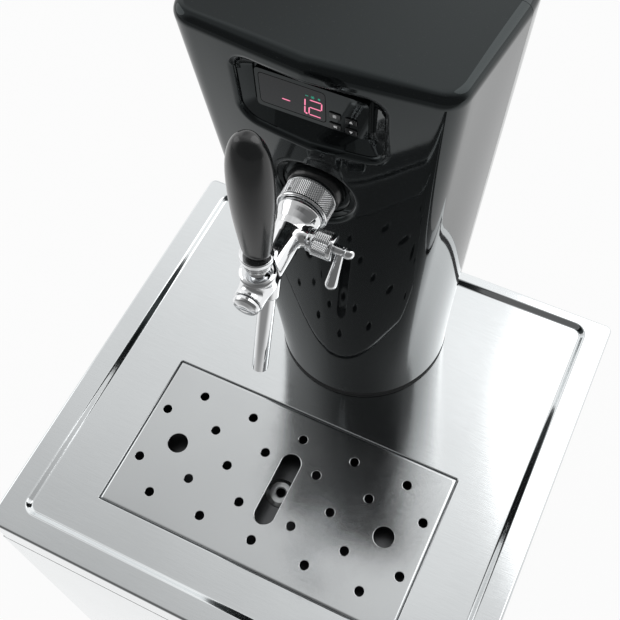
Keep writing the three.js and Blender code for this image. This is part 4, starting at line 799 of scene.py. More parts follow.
piece("drainRing", drainMesh(), "drain_fitting")
drainRoute = [(x, y, drainSizes["pipeZ"]) for x, y in drainSizes["hose"]]
piece("drainHose", meshOf(*tube(drainRoute, drainSizes["hoseRadius"], 20, 8)), "drain_pipe")
# The drip pan takes the steel painted dark for shade
finished("dripBasin", "drip_pan", 0.5, 3, finish=panShadeSteel)
finished("deckRing", "deck_frame")
print("drain and pan: done")

# Tower: the head's outline, blended down to a round foot; the two openings are worked into the skin
towerSizes = {
    "y": 113, "foot": 76.5, "low": 444.7, "base": 440, "height": 425, "bendHeight": 20, "bendSoftness": 65,
    "front": 92, "cornerX": 88.5, "cornerY": 84, "blend": 14, "side": 98, "rear": 84, "rearPower": 2.6,
    "topRadius": 8, "topSteps": 8, "topShares": (0.985, 0.8, 0.5, 0.2), "wall": 2.6, "split": 0.15, "sharp": 50,
    "frontStep": 2.1, "cornerSteps": 12, "rearSteps": 72, "footLevels": 40, "blockLevels": 33, "rearLevels": 44,
    "ring": [(68.5, 440.3), (76.5, 440.3), (76.5, 444.3, 1.2), (68.5, 444.3, 0.6)],
}
windowSizes = {
    "width": 92, "height": 52, "radius": 11, "z": 823, "lip": 4.5, "blockX": 57.5, "low": 788, "high": 856,
    "floorWidth": 76, "floorHeight": 35, "floorRadius": 5, "floorY": 35.3, "floorZ": 825, "floorLip": 1.6,
    "caseWidth": 66.6, "caseHeight": 25.6, "nextLevels": (785, 857),
}
dishSizes = {
    "radius": 27, "z": 747, "lip": 4.2, "blockX": 37, "low": 711, "high": 782,
    "floorRadius": 24, "floorY": 33.7, "floorLip": 2, "hole": 11.3,
}
recessSteps = {
    "around": (0.3, 0.55, 0.75, 0.9), "lip": 8, "lipShare": 0.93, "lipDeep": 0.8, "wall": (0.35, 0.7, 1.0),
    "floor": 5, "floorIn": 0.6,
}


def flareShare(z):
    s = towerSizes
    rise = lambda v: np.hypot(v - s["bendHeight"], s["bendSoftness"]) + (v - s["bendHeight"])
    return (rise(np.asarray(z, float) - s["base"]) - rise(0.0)) / (rise(float(s["height"])) - rise(0.0))


def frontOutline(frontStep, cornerSteps, sideSteps):
    s = towerSizes
    corner = np.array([s["cornerX"], -s["cornerY"]])
    slope = (s["front"] - s["cornerY"]) / s["cornerX"]
    frontEnd = np.array([s["cornerX"] - s["blend"], -s["cornerY"] - slope * s["blend"]])
    sideSlope = (s["side"] - s["cornerX"]) / s["cornerY"]
    sideStart = np.array([s["cornerX"] + sideSlope * s["blend"], -s["cornerY"] + s["blend"]])
    count = int(round(frontEnd[0] / frontStep))
    points = [(i / count * frontEnd[0], -s["front"] + i / count * (s["front"] + frontEnd[1])) for i in range(count)]
    points += [(1 - t) ** 2 * frontEnd + 2 * t * (1 - t) * corner + t * t * sideStart
               for t in (i / cornerSteps for i in range(cornerSteps + 1))]
    points += [sideStart + i / sideSteps * (np.array([s["side"], 0]) - sideStart) for i in range(1, sideSteps + 1)]
    half = np.array([tuple(p) for p in points])
    return np.concatenate([half[1:][::-1] * (-1, 1), half])


def rearOutline(steps):
    s = towerSizes
    angle = np.linspace(0, math.pi, steps + 1)
    c, n = np.cos(angle), np.sin(angle)
    power = 2 / s["rearPower"]
    outline = np.stack([s["side"] * np.sign(c) * np.abs(c) ** power, s["rear"] * np.abs(n) ** power], 1)
    outline[0], outline[-1] = (s["side"], 0), (-s["side"], 0)
    return outline


def towerPoints(outline, z, inset=0.0):
    s = towerSizes
    reach = np.hypot(outline[:, 0], outline[:, 1])
    radius = s["foot"] + flareShare(z) * (reach - s["foot"]) - inset
    return lying(outline / reach[:, None] * radius[:, None] + (0, s["y"]), z)


# Rows of a shell up to the middle of its top, with both ends of each row on the seam
def shellRows(outline, levels, split):
    s = towerSizes
    top, radius = s["base"] + s["height"], s["topRadius"]
    rows = [towerPoints(outline, z) for z in levels]
    for turn in turns(s["topSteps"])[1:]:
        rows.append(towerPoints(outline, top - radius + radius * math.sin(turn), radius * (1 - math.cos(turn))))
    centre = np.array([0, s["y"], top])
    rows += [centre + (rows[-1] - centre) * share for share in s["topShares"]]
    for row in rows:
        row[0, 1] = row[-1, 1] = s["y"] + split
    return rows + [centre[None] + (0, split, 0)]


def shellFaces(rows, count, taken=()):
    faces = []
    for r in range(rows - 1):
        for a in (r * count + c for c in range(count - 1) if (r, c) not in taken):
            faces.append((a, a + 1, a + 1 + count, a + count))
    last = (rows - 1) * count
    return faces + [(last + c, last + c + 1, last + count) for c in range(count - 1)]


# Gives an open skin its wall, on the inside
def shellOf(points, faces):
    mesh = meshOf(points, faces, weld=1e-6)
    with edited(mesh) as form:
        if max(form.faces, key=lambda f: f.calc_center_median().z).normal.z < 0:
            bmesh.ops.reverse_faces(form, faces=form.faces)
    return smoothed(worked(mesh, "SOLIDIFY", thickness=towerSizes["wall"] * mm, offset=-1), towerSizes["sharp"])


# Where the plain skin's front lies at any x and z
def frontDepth(flat):
    foot = towerSizes["foot"]
    dense = frontOutline(0.5, 60, 60)
    reach = np.hypot(dense[:, 0], dense[:, 1])
    radii = foot + flareShare(flat[:, 1])[:, None] * (reach - foot)
    lines = dense / reach[:, None] * radii[:, :, None]
    return towerSizes["y"] + np.array([np.interp(x, *line.T) for x, line in zip(flat[:, 0], lines)])


# Rings from a block's border over the lip, down the wall, over the floor's edge and in to its hole
def recessRings(border, s):
    local = border - (0, s["z"])
    if "width" in s:
        room = np.array([s["width"] / 2 - s["radius"], s["height"] / 2 - s["radius"]])
        core = np.clip(local, -room, room)
        share, way = core / room, local - core
        way /= np.linalg.norm(way, axis=1)[:, None]

        def ring(width, height, radius, grow, z):
            radius += grow
            return share * (width / 2 + grow - radius, height / 2 + grow - radius) + way * radius + (0, z)

        outer = lambda grow: ring(s["width"], s["height"], s["radius"], grow, s["z"])
        inner = lambda grow: ring(s["floorWidth"], s["floorHeight"], s["floorRadius"], grow, s["floorZ"])
        half = np.array([s["caseWidth"], s["caseHeight"]]) / 2
        hole = np.clip(border - (0, s["floorZ"]), -half, half) + (0, s["floorZ"])
    else:
        way = local / np.linalg.norm(local, axis=1)[:, None]
        outer = lambda grow: way * (s["radius"] + grow) + (0, s["z"])
        inner = lambda grow: way * (s["floorRadius"] + grow) + (0, s["z"])
        hole = way * s["hole"] + (0, s["z"])
    steps = recessSteps
    start, lip, soft, floorY = outer(s["lip"]), s["lip"], s["floorLip"], s["floorY"]
    flats = [(border + (start - border) * t, 0) for t in steps["around"]]
    for turn in turns(steps["lip"], steps["lipShare"]):
        flats.append((outer(lip * (1 - math.sin(turn))), lip * steps["lipDeep"] * (1 - math.cos(turn))))
    rows = [standing(flat, frontDepth(flat) + deep) for flat, deep in flats]
    last, target = rows[-1], standing(inner(0), floorY - soft)
    rows += [last + (target - last) * t for t in steps["wall"]]
    for turn in turns(steps["floor"])[1:]:
        rows.append(standing(inner(-soft * (1 - math.cos(turn))), floorY - soft + soft * math.sin(turn)))
    return rows + [standing(inner(-soft - steps["floorIn"]), floorY), standing(hole, floorY)]


def frontShellMesh():
    s = towerSizes
    blocks = (dishSizes, windowSizes)
    outline = frontOutline(s["frontStep"], s["cornerSteps"], s["cornerSteps"])
    outline[0, 1] = outline[-1, 1] = -s["split"]
    count = len(outline)
    levels = sorted({
        *np.linspace(s["low"], dishSizes["low"], s["footLevels"]), *windowSizes["nextLevels"],
        *(z for block in blocks for z in np.linspace(block["low"], block["high"], s["blockLevels"]))})
    rows = shellRows(outline, levels, -s["split"])
    taken, borders = set(), []
    for block in blocks:
        low, high = [min(range(len(levels)), key=lambda i: abs(levels[i] - block[end])) for end in ("low", "high")]
        middle = rows[(low + high) // 2]
        inside = [i for i in range(count) if abs(middle[i, 0]) <= block["blockX"] and middle[i, 1] < s["y"] - 40]
        left, right = inside[0], inside[-1]
        taken |= {(r, c) for r in range(low, high) for c in range(left, right)}
        loop = [(low, c) for c in range(left, right)] + [(r, right) for r in range(low, high)]
        loop += [(high, c) for c in range(right, left, -1)] + [(r, left) for r in range(high, low, -1)]
        borders.append([r * count + c for r, c in loop])
    faces = shellFaces(len(rows) - 1, count, taken)
    points = np.concatenate(rows)
    for indices, block in zip(borders, blocks):
        rings = recessRings(points[indices][:, [0, 2]], block)
        base, n = len(points), len(indices)
        points = np.concatenate([points, *rings])
        chain = [indices] + [list(range(base + k * n, base + (k + 1) * n)) for k in range(len(rings))]
        for a, b in zip(chain, chain[1:]):
            faces += [(a[i], a[(i + 1) % n], b[(i + 1) % n], b[i]) for i in range(n)]
    return shellOf(points, faces)


def rearShellMesh():
    s = towerSizes
    outline = rearOutline(s["rearSteps"])
    levels = np.linspace(s["low"], s["base"] + s["height"] - s["topRadius"], s["rearLevels"])
    rows = shellRows(outline, levels, s["split"])
    return shellOf(np.concatenate(rows), shellFaces(len(rows) - 1, len(outline)))


piece("towerFront", frontShellMesh(), "tower_front_shell")
piece("towerRear", rearShellMesh(), "tower_rear_shell")
footRing = latheMesh(filleted(towerSizes["ring"], 4, True), 128, "z", (0, towerSizes["y"], 0))
piece("towerBaseRing", footRing, "tower_foot_ring")
finished("towerDuct", "tower_duct", 0.5, 2, 30)

# Tap: measured from the middle of the round recess's floor as (x, forward, z), forward along the tap
tapPlace = {"y": 33.7, "z": 747}
# A rod is its frame, radius, start, end, edge and blend; a bore is its frame, radius, start and end
tapSizes = {
    "barrel": [(0, 12.3), (14, 12.3), (14, 15.3), (11.4, 15.3), (11.4, 24.3), (14.9, 24.3), (14.9, 26.6),
               (14.2, 28.6), (12.9, 31.3), (11.4, 35.4), (10.5, 40), (10.1, 46), (9.7, 70), (9.4, 96), (0, 96),
               (-5, 96), (-5, 12.3)],
    "keel": [(33, 2), (36, -9.6), (60, -16.8), (75.6, -14.8), (75.6, 2)],
    "keelHalf": 4.9, "keelEdge": 0.45, "keelBlend": 2,
    "spoutAt": 65.3, "spoutTilt": 19.75, "armAt": 39.7, "bossAt": 80.7,
    "rods": [("spout", 7.3, 0, 25, 0.6, 1.6), ("arm", 6.1, 0, 16.6, 0.4, 3.5), ("arm", 7.6, 13.6, 16.6, 0.6, 0.8),
             ("boss", 11, 0, 11, 0.7, 3)],
    "bores": [("arm", 3.7, 0, 18), ("spout", 5.65, 11.7, 27), ("spout", 4, 0, 13),
              ("barrel", 4.4, 10, 52), ("barrel", 3.4, 50, 58), ("barrel", 5.2, 57, 98)],
    "ballZ": 9, "ballRoom": 7.55, "fingerHalf": 2.8, "fingerReach": 7,
    "voxel": 0.45, "steps": 5, "stride": 0.35, "leastSlope": 0.25, "sharp": 62,
}


def outlineDistance(p, outline):
    best = np.full(len(p), 1e9)
    inside = np.zeros(len(p), bool)
    corners = np.array(outline, float)
    for a, b in zip(corners, np.roll(corners, -1, 0)):
        edge, here = b - a, p - a
        share = np.clip((here @ edge) / (edge @ edge), 0, 1)[:, None]
        best = np.minimum(best, ((here - share * edge) ** 2).sum(1))
        crosses = (a[1] > p[:, 1]) != (b[1] > p[:, 1])
        rise = edge[1] if abs(edge[1]) > 1e-12 else 1e-12
        inside ^= crosses & (p[:, 0] < a[0] + edge[0] * (p[:, 1] - a[1]) / rise)
    return np.where(inside, -1, 1) * np.sqrt(best)


def blended(a, b, k):
    h = np.maximum(k - np.abs(a - b), 0) / k
    return np.minimum(a, b) - h * h * k / 4


# Where two walls cross, each given by its distance, with the corner rounded
def crossed(a, b, edge):
    a, b = a + edge, b + edge
    return np.minimum(np.maximum(a, b), 0) + np.hypot(np.maximum(a, 0), np.maximum(b, 0)) - edge


def rodDistance(p, radius, low, high, edge=0.01):
    return crossed(np.hypot(p[0], p[1]) - radius, np.maximum(low - p[2], p[2] - high), edge)


def tapDistance(p):
    s = tapSizes
    x, f, z = p.T
    solid = outlineDistance(np.stack([np.hypot(x, z), f], 1), s["barrel"])
    keel = crossed(outlineDistance(np.stack([f, z], 1), s["keel"]), np.abs(x) - s["keelHalf"], s["keelEdge"])
    solid = blended(solid, keel, s["keelBlend"])
    c, n = math.cos(s["spoutTilt"] * degree), math.sin(s["spoutTilt"] * degree)
    out, fromBoss = f - s["spoutAt"], f - s["bossAt"]
    frames = {"barrel": (x, z, f), "spout": (x, out * c + z * n, out * n - z * c), "arm": (f - s["armAt"], z, x),
              "boss": (x, fromBoss, z)}
    for name, radius, low, high, edge, blend in s["rods"]:
        solid = blended(solid, rodDistance(frames[name], radius, low, high, edge), blend)
    cuts = [rodDistance(frames[name], *sizes) for name, *sizes in s["bores"]]
    cuts.append(np.sqrt(x ** 2 + fromBoss ** 2 + (z - s["ballZ"]) ** 2) - s["ballRoom"])
    cuts.append(np.maximum.reduce([
        np.abs(x) - s["fingerHalf"], np.abs(fromBoss) - s["fingerReach"], -z, z - s["ballZ"]]))
    return np.maximum(solid, -np.minimum.reduce(cuts))


def slopeAt(distance, p, step=0.02):
    shifts = np.eye(3) * step
    return np.stack([(distance(p + shift) - distance(p - shift)) / (2 * step) for shift in shifts], 1)


def spotsOf(mesh):
    spots = np.empty(len(mesh.vertices) * 3)
    mesh.vertices.foreach_get("co", spots)
    return spots.reshape(-1, 3)


# The node's own solid is remeshed finely, then drawn onto the smooth blended form
def tapBodyMesh():
    s = tapSizes
    mesh = frame["nodes"]["tap_body"].data.copy()
    mesh.materials.clear()
    mesh = worked(settle(mesh), "REMESH", mode="VOXEL", voxel_size=s["voxel"] * mm)
    toTap = np.array([0, tapPlace["y"], tapPlace["z"]])
    p = ((spotsOf(mesh) - origin) / mm - toTap) * (1, -1, 1)
    for _ in range(s["steps"]):
        slope = slopeAt(tapDistance, p)
        length = np.maximum((slope ** 2).sum(1), s["leastSlope"])
        p = p - slope * np.clip(tapDistance(p) / length, -s["stride"], s["stride"])[:, None]
    mesh.vertices.foreach_set("co", place(p * (1, -1, 1) + toTap).ravel())
    mesh.update()
    return smoothed(mesh, s["sharp"])


def turnX(angle):
    c, s = math.cos(angle * degree), math.sin(angle * degree)
    return [[1, 0, 0], [0, c, -s], [0, s, c]]


def tapSpot(forward=0.0, x=0.0, z=0.0):
    return (x, tapPlace["y"] - forward, tapPlace["z"] + z)


# Knurling: a grid of small pyramids wrapped round, closed on its inside
nutKnurl = {"Radius": 17.35 * mm, "Depth": 0.34 * mm, "Inner": 15 * mm, "Start": 10.1 * mm, "End": 22.2 * mm,
            "Columns": 132, "Rows": 16}
sleeveKnurl = {"Radius": 8.82 * mm, "Depth": 0.3 * mm, "Inner": 7 * mm, "Start": 18.1 * mm, "End": 28.3 * mm,
               "Columns": 76, "Rows": 15}


def knurlTree():
    wire, size = startTree("knurling", {**nutKnurl, "Finish": ""})
    rows = size["Rows"]
    grid = wire.add("GeometryNodeMeshGrid", None, {
        "Size X": 1.0, "Size Y": 1.0, "Vertices X": size["Columns"] + 1, "Vertices Y": rows + 3})
    x, y, _ = wire.add("GeometryNodeInputPosition").split()
    turn = (x + 0.5) * (2 * math.pi)
    column = wire.maths("ROUND", (x + 0.5) * size["Columns"])
    row = wire.maths("ROUND", (y + 0.5) * (rows + 2))
    odd = (column + row) % 2
    rim = (row < 1.5) + (row > rows - 0.5)
    inner = (row < 0.5) + (row > rows + 0.5)
    deep = wire.maths("MAXIMUM", odd, wire.maths("MINIMUM", rim, 1.0)) * size["Depth"]
    radius = (size["Radius"] - deep) * (1 - inner) + size["Inner"] * inner
    share = wire.maths("MINIMUM", wire.maths("MAXIMUM", (row - 1) / (rows - 1), 0.0), 1.0) * (row < rows + 1.5)
    spot = wire.xyz(radius * wire.maths("COSINE", turn), radius * wire.maths("SINE", turn),
                    size["Start"] + (size["End"] - size["Start"]) * share)
    wrapped = wire.add("GeometryNodeSetPosition", None, {"Geometry": grid, "Position": spot})
    merge = wire.add("GeometryNodeMergeByDistance", None, {"Geometry": wrapped, "Distance": 1e-5})
    return endTree(wire, merge, size["Finish"])


knurling = knurlTree()


def knurlMesh(sizes, axis, spot):
    mesh = evaluated(knurling, {**sizes, "Finish": finishes["knurled_chrome"]})
    mesh.vertices.foreach_set("co", place(turnedTo(spotsOf(mesh) / mm, axis, spot)).ravel())
    mesh.materials.clear()
    with edited(mesh) as form:
        bmesh.ops.triangulate(form, faces=form.faces, quad_method="SHORT_EDGE")
    return settle(mesh, 5, 1e-6)


def withKnurl(smooth, knurl):
    knurl.polygons.foreach_set("material_index", np.ones(len(knurl.polygons), np.int32))
    mesh = joined(smooth, knurl)
    for finish in (finishes["chrome"], finishes["knurled_chrome"]):
        mesh.materials.append(finish)
    return mesh


nutProfile = filleted([
    (11.2, 8.6), (17.0, 8.6, 0.6), (17.35, 9.3, 0.3), (17.35, 10.0, 0.15), (16.9, 10.2), (16.9, 22.1),
    (17.35, 22.3, 0.15), (17.5, 23.2, 0.5), (17.0, 24, 0.5), (15.5, 24, 0.3), (15.3, 23.7, 0.2), (11.9, 23.7),
    (11.9, 21.6), (14.5, 21.6), (14.5, 12), (11.2, 12),
], 4, True)
sleeveProfile = filleted([
    (3.7, 16.9), (8.2, 16.9, 0.3), (8.8, 17.5, 0.3), (8.8, 18.0), (8.5, 18.2), (8.5, 28.2), (8.9, 28.4, 0.15),
    (9, 29.4, 0.5), (8.4, 30.9, 0.8), (3.7, 30.9),
], 4, True)
spannerHole = {"radius": 1.2, "from": 14.9, "to": 19, "forward": 19.2, "turn": 124, "sides": 24}


# Cuts the hole for a pin spanner into the nut
def drilled(mesh):
    s = spannerHole
    c, d = math.cos(s["turn"] * degree), math.sin(s["turn"] * degree)
    pin = [(0, s["from"]), (s["radius"], s["from"]), (s["radius"], s["to"]), (0, s["to"])]
    return cut(mesh, latheMesh(pin, s["sides"], "z", tapSpot(s["forward"]), [[d, 0, c], [0, 1, 0], [-c, 0, d]]))


nutSpot, armSpot = tapSpot(), tapSpot(tapSizes["armAt"])
piece("tapCouplingNut", withKnurl(drilled(latheMesh(nutProfile, 96, "front", nutSpot)),
                                  drilled(knurlMesh(nutKnurl, "front", nutSpot))), "coupling_nut")
piece("tapSleeve", withKnurl(latheMesh(sleeveProfile, 72, "right", armSpot), knurlMesh(sleeveKnurl, "right", armSpot)),
      "compensator_sleeve")
piece("tapBody", tapBodyMesh(), "tap_body")

capSizes = {
    "profile": [(0, 94.8), (4.5, 94.8), (4.5, 96.3), (8.2, 96.3, 0.3), (8.6, 96.9, 0.4), (8.6, 98.6, 0.8),
                (7.7, 100.2, 1.5), (4, 101.2, 6), (0, 101.3)],
    "slotLength": 19, "slotWidth": 2.4, "slotFrom": 99.8, "slotTo": 103.8, "edge": 0.18,
}


def capMesh():
    s = capSizes
    x, z = s["slotLength"] / 2, s["slotWidth"] / 2
    slot = np.array([(-x, -z), (x, -z), (x, z), (-x, z)]) + (0, tapPlace["z"])
    tool = meshOf(*skin([standing(slot, tapPlace["y"] - forward) for forward in (s["slotFrom"], s["slotTo"])]))
    mesh = cut(latheMesh(filleted(s["profile"]), 96, "front", tapSpot()), tool)
    mesh.materials.clear()
    return softened(mesh, s["edge"], 2, 28, 40)


# Turned parts of the tap; a ball's outline is given by its radius, its height and where it starts and ends
turnedSizes = {
    "flange": [(11.2, 0.4), (19.8, 0.4, 0.4), (19.8, 3.4, 1.2), (17.9, 8.2, 1.5), (11.2, 8.2)],
    "spout": [(4, -90.3, 0.5), (5.5, -90.3, 0.5), (5.5, -12.1), (4, -12.1)],
    "rod": [(0, 5.3), (3.3, 5.3), (3.3, 36.2)], "rodBall": (3.8, 40, -0.97, quarter, 12), "rodEnd": 43.8,
    "arm": (2.4, 1.5, 1.3, 22), "armBall": (3.9, 22, 0, quarter, 9), "armEnd": 25.9, "armX": 35, "armTurn": 137,
    "handLean": -4.5, "ringRoom": 7.56, "ringSeat": (11.3, 14, 12.6),
    "ringEdge": [(11.3, 11.3, 0.4), (11.6, 12.1, 0.5), (11, 13.2, 0.7), (9.6, 14, 0.5)],
    "leverFoot": [(0, -10.6), (1.8, -10.6), (2.2, -10.1), (2.2, -7.06)], "leverBall": (7.4, 0, -1.26, 1.12, 22),
    "ferrule": [(3.2, 10), (7.6, 10, 0.4), (8.6, 10.7, 0.5), (8.3, 11.5, 0.25), (8.9, 11.8, 0.25), (9.0, 12.8, 0.4),
                (8.6, 13.2, 0.2), (9.1, 13.5, 0.25), (9.3, 14.6, 0.4), (8.9, 15.1, 0.3), (9.4, 16.4, 1),
                (10.2, 17.2, 0.4), (10.4, 18.0, 0.4), (10.4, 20.4, 0.5), (10.0, 21, 0.4), (3.5, 21)],
    "leverEnd": [(3.5, 35), (0, 35)],
}


def ball(radius, height, start, end, count):
    return [(radius * math.cos(a), height + radius * math.sin(a)) for a in np.linspace(start, end, count)]


def spindleMesh():
    s = turnedSizes
    rod = s["rod"] + ball(*s["rodBall"])[:-1] + [(0, s["rodEnd"])]
    root, swell, power, length = s["arm"]
    arm = [(0, 0), (root, 0)] + [(root + swell * t ** power, length * t) for t in (0.2, 0.4, 0.6, 0.8)]
    arm += ball(*s["armBall"])[:-1] + [(0, s["armEnd"])]
    lever = latheMesh(arm, 40, "z", (s["armX"], *armSpot[1:]), turnX(s["armTurn"]))
    return joined(latheMesh(rod, 40, "right", armSpot), lever)


def ringMesh():
    s = turnedSizes
    seat = [(math.sqrt(s["ringRoom"] ** 2 - (z - tapSizes["ballZ"]) ** 2), z) for z in s["ringSeat"]]
    return latheMesh(filleted([seat[0], *s["ringEdge"], *seat[1:]], 4, True), 80, "z", tapSpot(tapSizes["bossAt"]))


def leverMesh():
    s = turnedSizes
    profile = s["leverFoot"] + ball(*s["leverBall"]) + [(3.2, 7.0)] + filleted(s["ferrule"], 4) + s["leverEnd"]
    return latheMesh(profile, 80, "z", handSpot, handLean)


handSpot, handLean = tapSpot(tapSizes["bossAt"], z=tapSizes["ballZ"]), turnX(turnedSizes["handLean"])
piece("tapFlange", latheMesh(filleted(turnedSizes["flange"], 4, True), 96, "front", nutSpot), "shank_flange")
piece("tapSpout", latheMesh(filleted(turnedSizes["spout"], 4, True), 64, "z", tapSpot(tapSizes["spoutAt"]),
                            turnX(-tapSizes["spoutTilt"])), "spout")
piece("tapEndCap", capMesh(), "end_cap")
piece("tapSpindle", spindleMesh(), "compensator_spindle")
piece("tapSocketRing", ringMesh(), "socket_ring")
piece("tapLever", leverMesh(), "tap_lever")

handleSizes = {
    "base": 21.3, "length": 95.8, "halfWidth": 14, "halfDepth": 10.8, "baseShare": 0.62, "widest": 0.62, "split": 0.6,
    "sides": 96, "steps": 52, "hole": 3.65, "holeDepth": 13.9, "blunt": 2.5, "foot": 3.2, "flattenOver": 4,
}


def handleMesh():
    s = handleSizes
    base, widest, foot = s["base"], s["widest"], s["foot"]
    profile = [(0, base + s["holeDepth"]), (s["hole"], base + s["holeDepth"]), (s["hole"], base)]
    for t in (i / s["steps"] for i in range(s["steps"])):
        if t < s["split"]:
            share = widest * t / s["split"]
            bend = s["baseShare"] + (1 - s["baseShare"]) * math.sin(share / widest * quarter)
        else:
            share = widest + (1 - widest) * math.sin((t - s["split"]) / (1 - s["split"]) * quarter)
            bend = (1 - ((share - widest) / (1 - widest)) ** s["blunt"]) ** (1 / s["blunt"])
        low = max(0, 1 - share * s["length"] / foot)
        drawnIn = foot * 0.8 * (1 - math.sqrt(1 - low ** 2))
        profile.append((s["halfWidth"] * bend - drawnIn, base + share * s["length"]))
    points, faces = lathe(profile + [(0, base + s["length"])], s["sides"])
    reach = np.hypot(points[:, 0], points[:, 1])
    points[:, 1] *= 1 - (1 - s["halfDepth"] / s["halfWidth"]) * np.clip((reach - s["hole"]) / s["flattenOver"], 0, 1)
    return meshOf(turnedTo(points, "z", handSpot, handLean), faces, 40)


piece("tapHandle", handleMesh(), "tap_handle")
finished("tapShank", "tap_shank", 0.3)
finished("tapShankNut", "shank_nut", 0.6)
finished("tapPiston", "tap_piston", 0.15)
print("tap: done")

# Thermostat: a flat front with its window, sprung keys, lit figures and white marks
displaySizes = {
    "y": 31, "keyY": 30.2, "ink": 0.05, "thick": 0.8, "gap": 0.22, "lean": 0.06, "height": 12.2, "width": 7.8,
    "low": 815.7, "digits": [("bc", -12.2), ("abged", -1.7)], "minus": (-18.8, 821.4, -13.4, 821.4),
    "point": (-3.3, 815.9, 0.7), "signZ": 830.7, "flakeX": 1.2, "flakeArm": 1.3, "dot": (5.2, 0.8),
    "dash": (-3.6, -1.4), "signThick": (0.4, 0.5), "mark": 1.15, "markThick": (0.55, 0.5),
    "keys": {"set": (15, 822), "light": (15, 813.4), "up": (25.2, 821.6), "down": (25.2, 813.2)},
}


# One bar of a lit figure, pointed at both ends
def bar(x0, z0, x1, z1, wide):
    a, b = np.array([x0, z0]), np.array([x1, z1])
    way = (b - a) / np.linalg.norm(b - a)
    side = np.array([-way[1], way[0]]) * wide / 2
    tip = way * wide / 2
    return np.array([a, a + tip - side, b - tip - side, b, b - tip + side, a + tip + side])[::-1]


def disc(x, z, radius, sides=14):
    angles = [-2 * math.pi * k / sides for k in range(sides)]
    return [(x + radius * math.cos(a), z + radius * math.sin(a)) for a in angles]


def figure(lit, x):
    s = displaySizes
    w, h = s["width"], s["height"] / 2
    ends = {"a": (0, 2 * h, w, 2 * h), "b": (w, 2 * h, w, h), "c": (w, h, w, 0), "d": (0, 0, w, 0), "e": (0, h, 0, 0),
            "g": (0, h, w, h)}
    bars = []
    for start, end in ((np.array(ends[name][:2], float), np.array(ends[name][2:], float)) for name in lit):
        way = (end - start) / np.linalg.norm(end - start) * s["gap"]
        stroke = bar(*(start + way), *(end - way), s["thick"])
        bars.append(stroke + np.column_stack([stroke[:, 1] * s["lean"] + x, np.full(len(stroke), s["low"])]))
    return bars


def inked(strokes, y):
    shells = [skin([standing(stroke, depth) for depth in (y, y - displaySizes["ink"])]) for stroke in strokes]
    return meshOf(*merged(*shells), 30)


# A triangle up, one down, three bars, and a disc with a bar
def keyMark(kind, x, z):
    size, (thick, thin) = displaySizes["mark"], displaySizes["markThick"]
    if kind == "up":
        return [[(x - size, z - size * 0.8), (x, z + size), (x + size, z - size * 0.8)]]
    if kind == "down":
        return [[(x - size, z + size * 0.8), (x + size, z + size * 0.8), (x, z - size)]]
    if kind == "set":
        return [bar(x - size, z + rise, x + size, z + rise, thick) for rise in (size * 0.7, -size * 0.7, 0)]
    return [disc(x, z, size * 0.8), bar(x + size, z - size, x + size, z + size, thin)]


def lettered(name, strokes, node, finish, y=displaySizes["y"]):
    detail(name, inked(strokes, y), bodyOf[node], slotOf[node], finish)


def letterThermostat():
    s = displaySizes
    lit = [stroke for names, x in s["digits"] for stroke in figure(names, x)]
    lettered("displayFigures", lit + [bar(*s["minus"], s["thick"]), disc(*s["point"])], "display_window", digitGlow)
    x, z, arm = s["flakeX"], s["signZ"], s["flakeArm"]
    ways = ((arm, 0), (arm * 0.5, arm * 0.87), (arm * 0.5, -arm * 0.87))
    flakeThick, dashThick = s["signThick"]
    signs = [bar(x - a, z - b, x + a, z + b, flakeThick) for a, b in ways]
    signs += [disc(s["dot"][0], z, s["dot"][1]), bar(s["dash"][0], z, s["dash"][1], z, dashThick)]
    lettered("displaySigns", signs, "display_window", signGlow)
    for label, spot in s["keys"].items():
        lettered(label + "Mark", keyMark(label, *spot), "key_" + label, whiteInk, s["keyY"])


finished("thermostatFront", "thermostat_front", 0.45, 3, 30)
finished("thermostatCase", "thermostat_case", 0.6)
finished("displayWindow", "display_window", 0.25, 2, 30)
for label in displaySizes["keys"]:
    finished(label + "Key", "key_" + label, 0.35, 3, 40)
letterThermostat()
print("thermostat: done")

# Keg, gas bottle and hoses
kegSizes = {
    "spot": (-70, -50, 0), "sides": 112,
    "outline": [(0, 60.5), (60, 60.5, 20), (76, 58, 5), (81, 52.6, 1.5), (85.5, 52.6, 1.5), (86, 60), (86, 76, 1),
                (85.2, 78, 1), (85.2, 80, 1), (86, 82, 1), (86, 270, 1), (85.2, 272, 1), (85.2, 274, 1), (86, 276, 1),
                (86, 298.8, 1.5), (81.4, 298.8, 1.5), (80, 291.2, 3), (14, 291.2), (14, 290.2), (79, 289),
                (84.8, 285, 2), (84.8, 66, 2), (76, 61.5, 4), (0, 61.5)],
}
bottleSizes = {
    "spot": (98, -60, 0), "sides": 96,
    "outline": [(0, 52.3), (24, 52.3, 3), (30, 59, 8), (30, 212, 14), (16, 236, 12), (11, 242.2, 4), (11, 256.2, 0.8),
                (0, 256.2)],
}
hoseSizes = {
    "gas": {"radius": 3.5, "steps": 12, "route": [
        (71.8, -60, 271.3), (63.13, -60, 271.3), (16.05, -55, 338.2), (-31.03, -50, 314.2), (-39.7, -50, 314.2)]},
    "beer": {"radius": 4.75, "steps": 8, "route": [
        (-70, -50, 339.9), (-70, -50, 342.3), (-60.5, -31, 358.5), (-35, 31.5, 358.5), (-4.75, 94, 358.5),
        (0, 113, 402), (0, 113, 541), (0, 113, 680), (0, 109.8, 713.5), (0, 97.7, 742.3), (0, 83.75, 747),
        (0, 79, 747)]},
}


def vesselMesh(s, steps):
    return latheMesh(filleted(s["outline"], steps), s["sides"], "z", s["spot"])


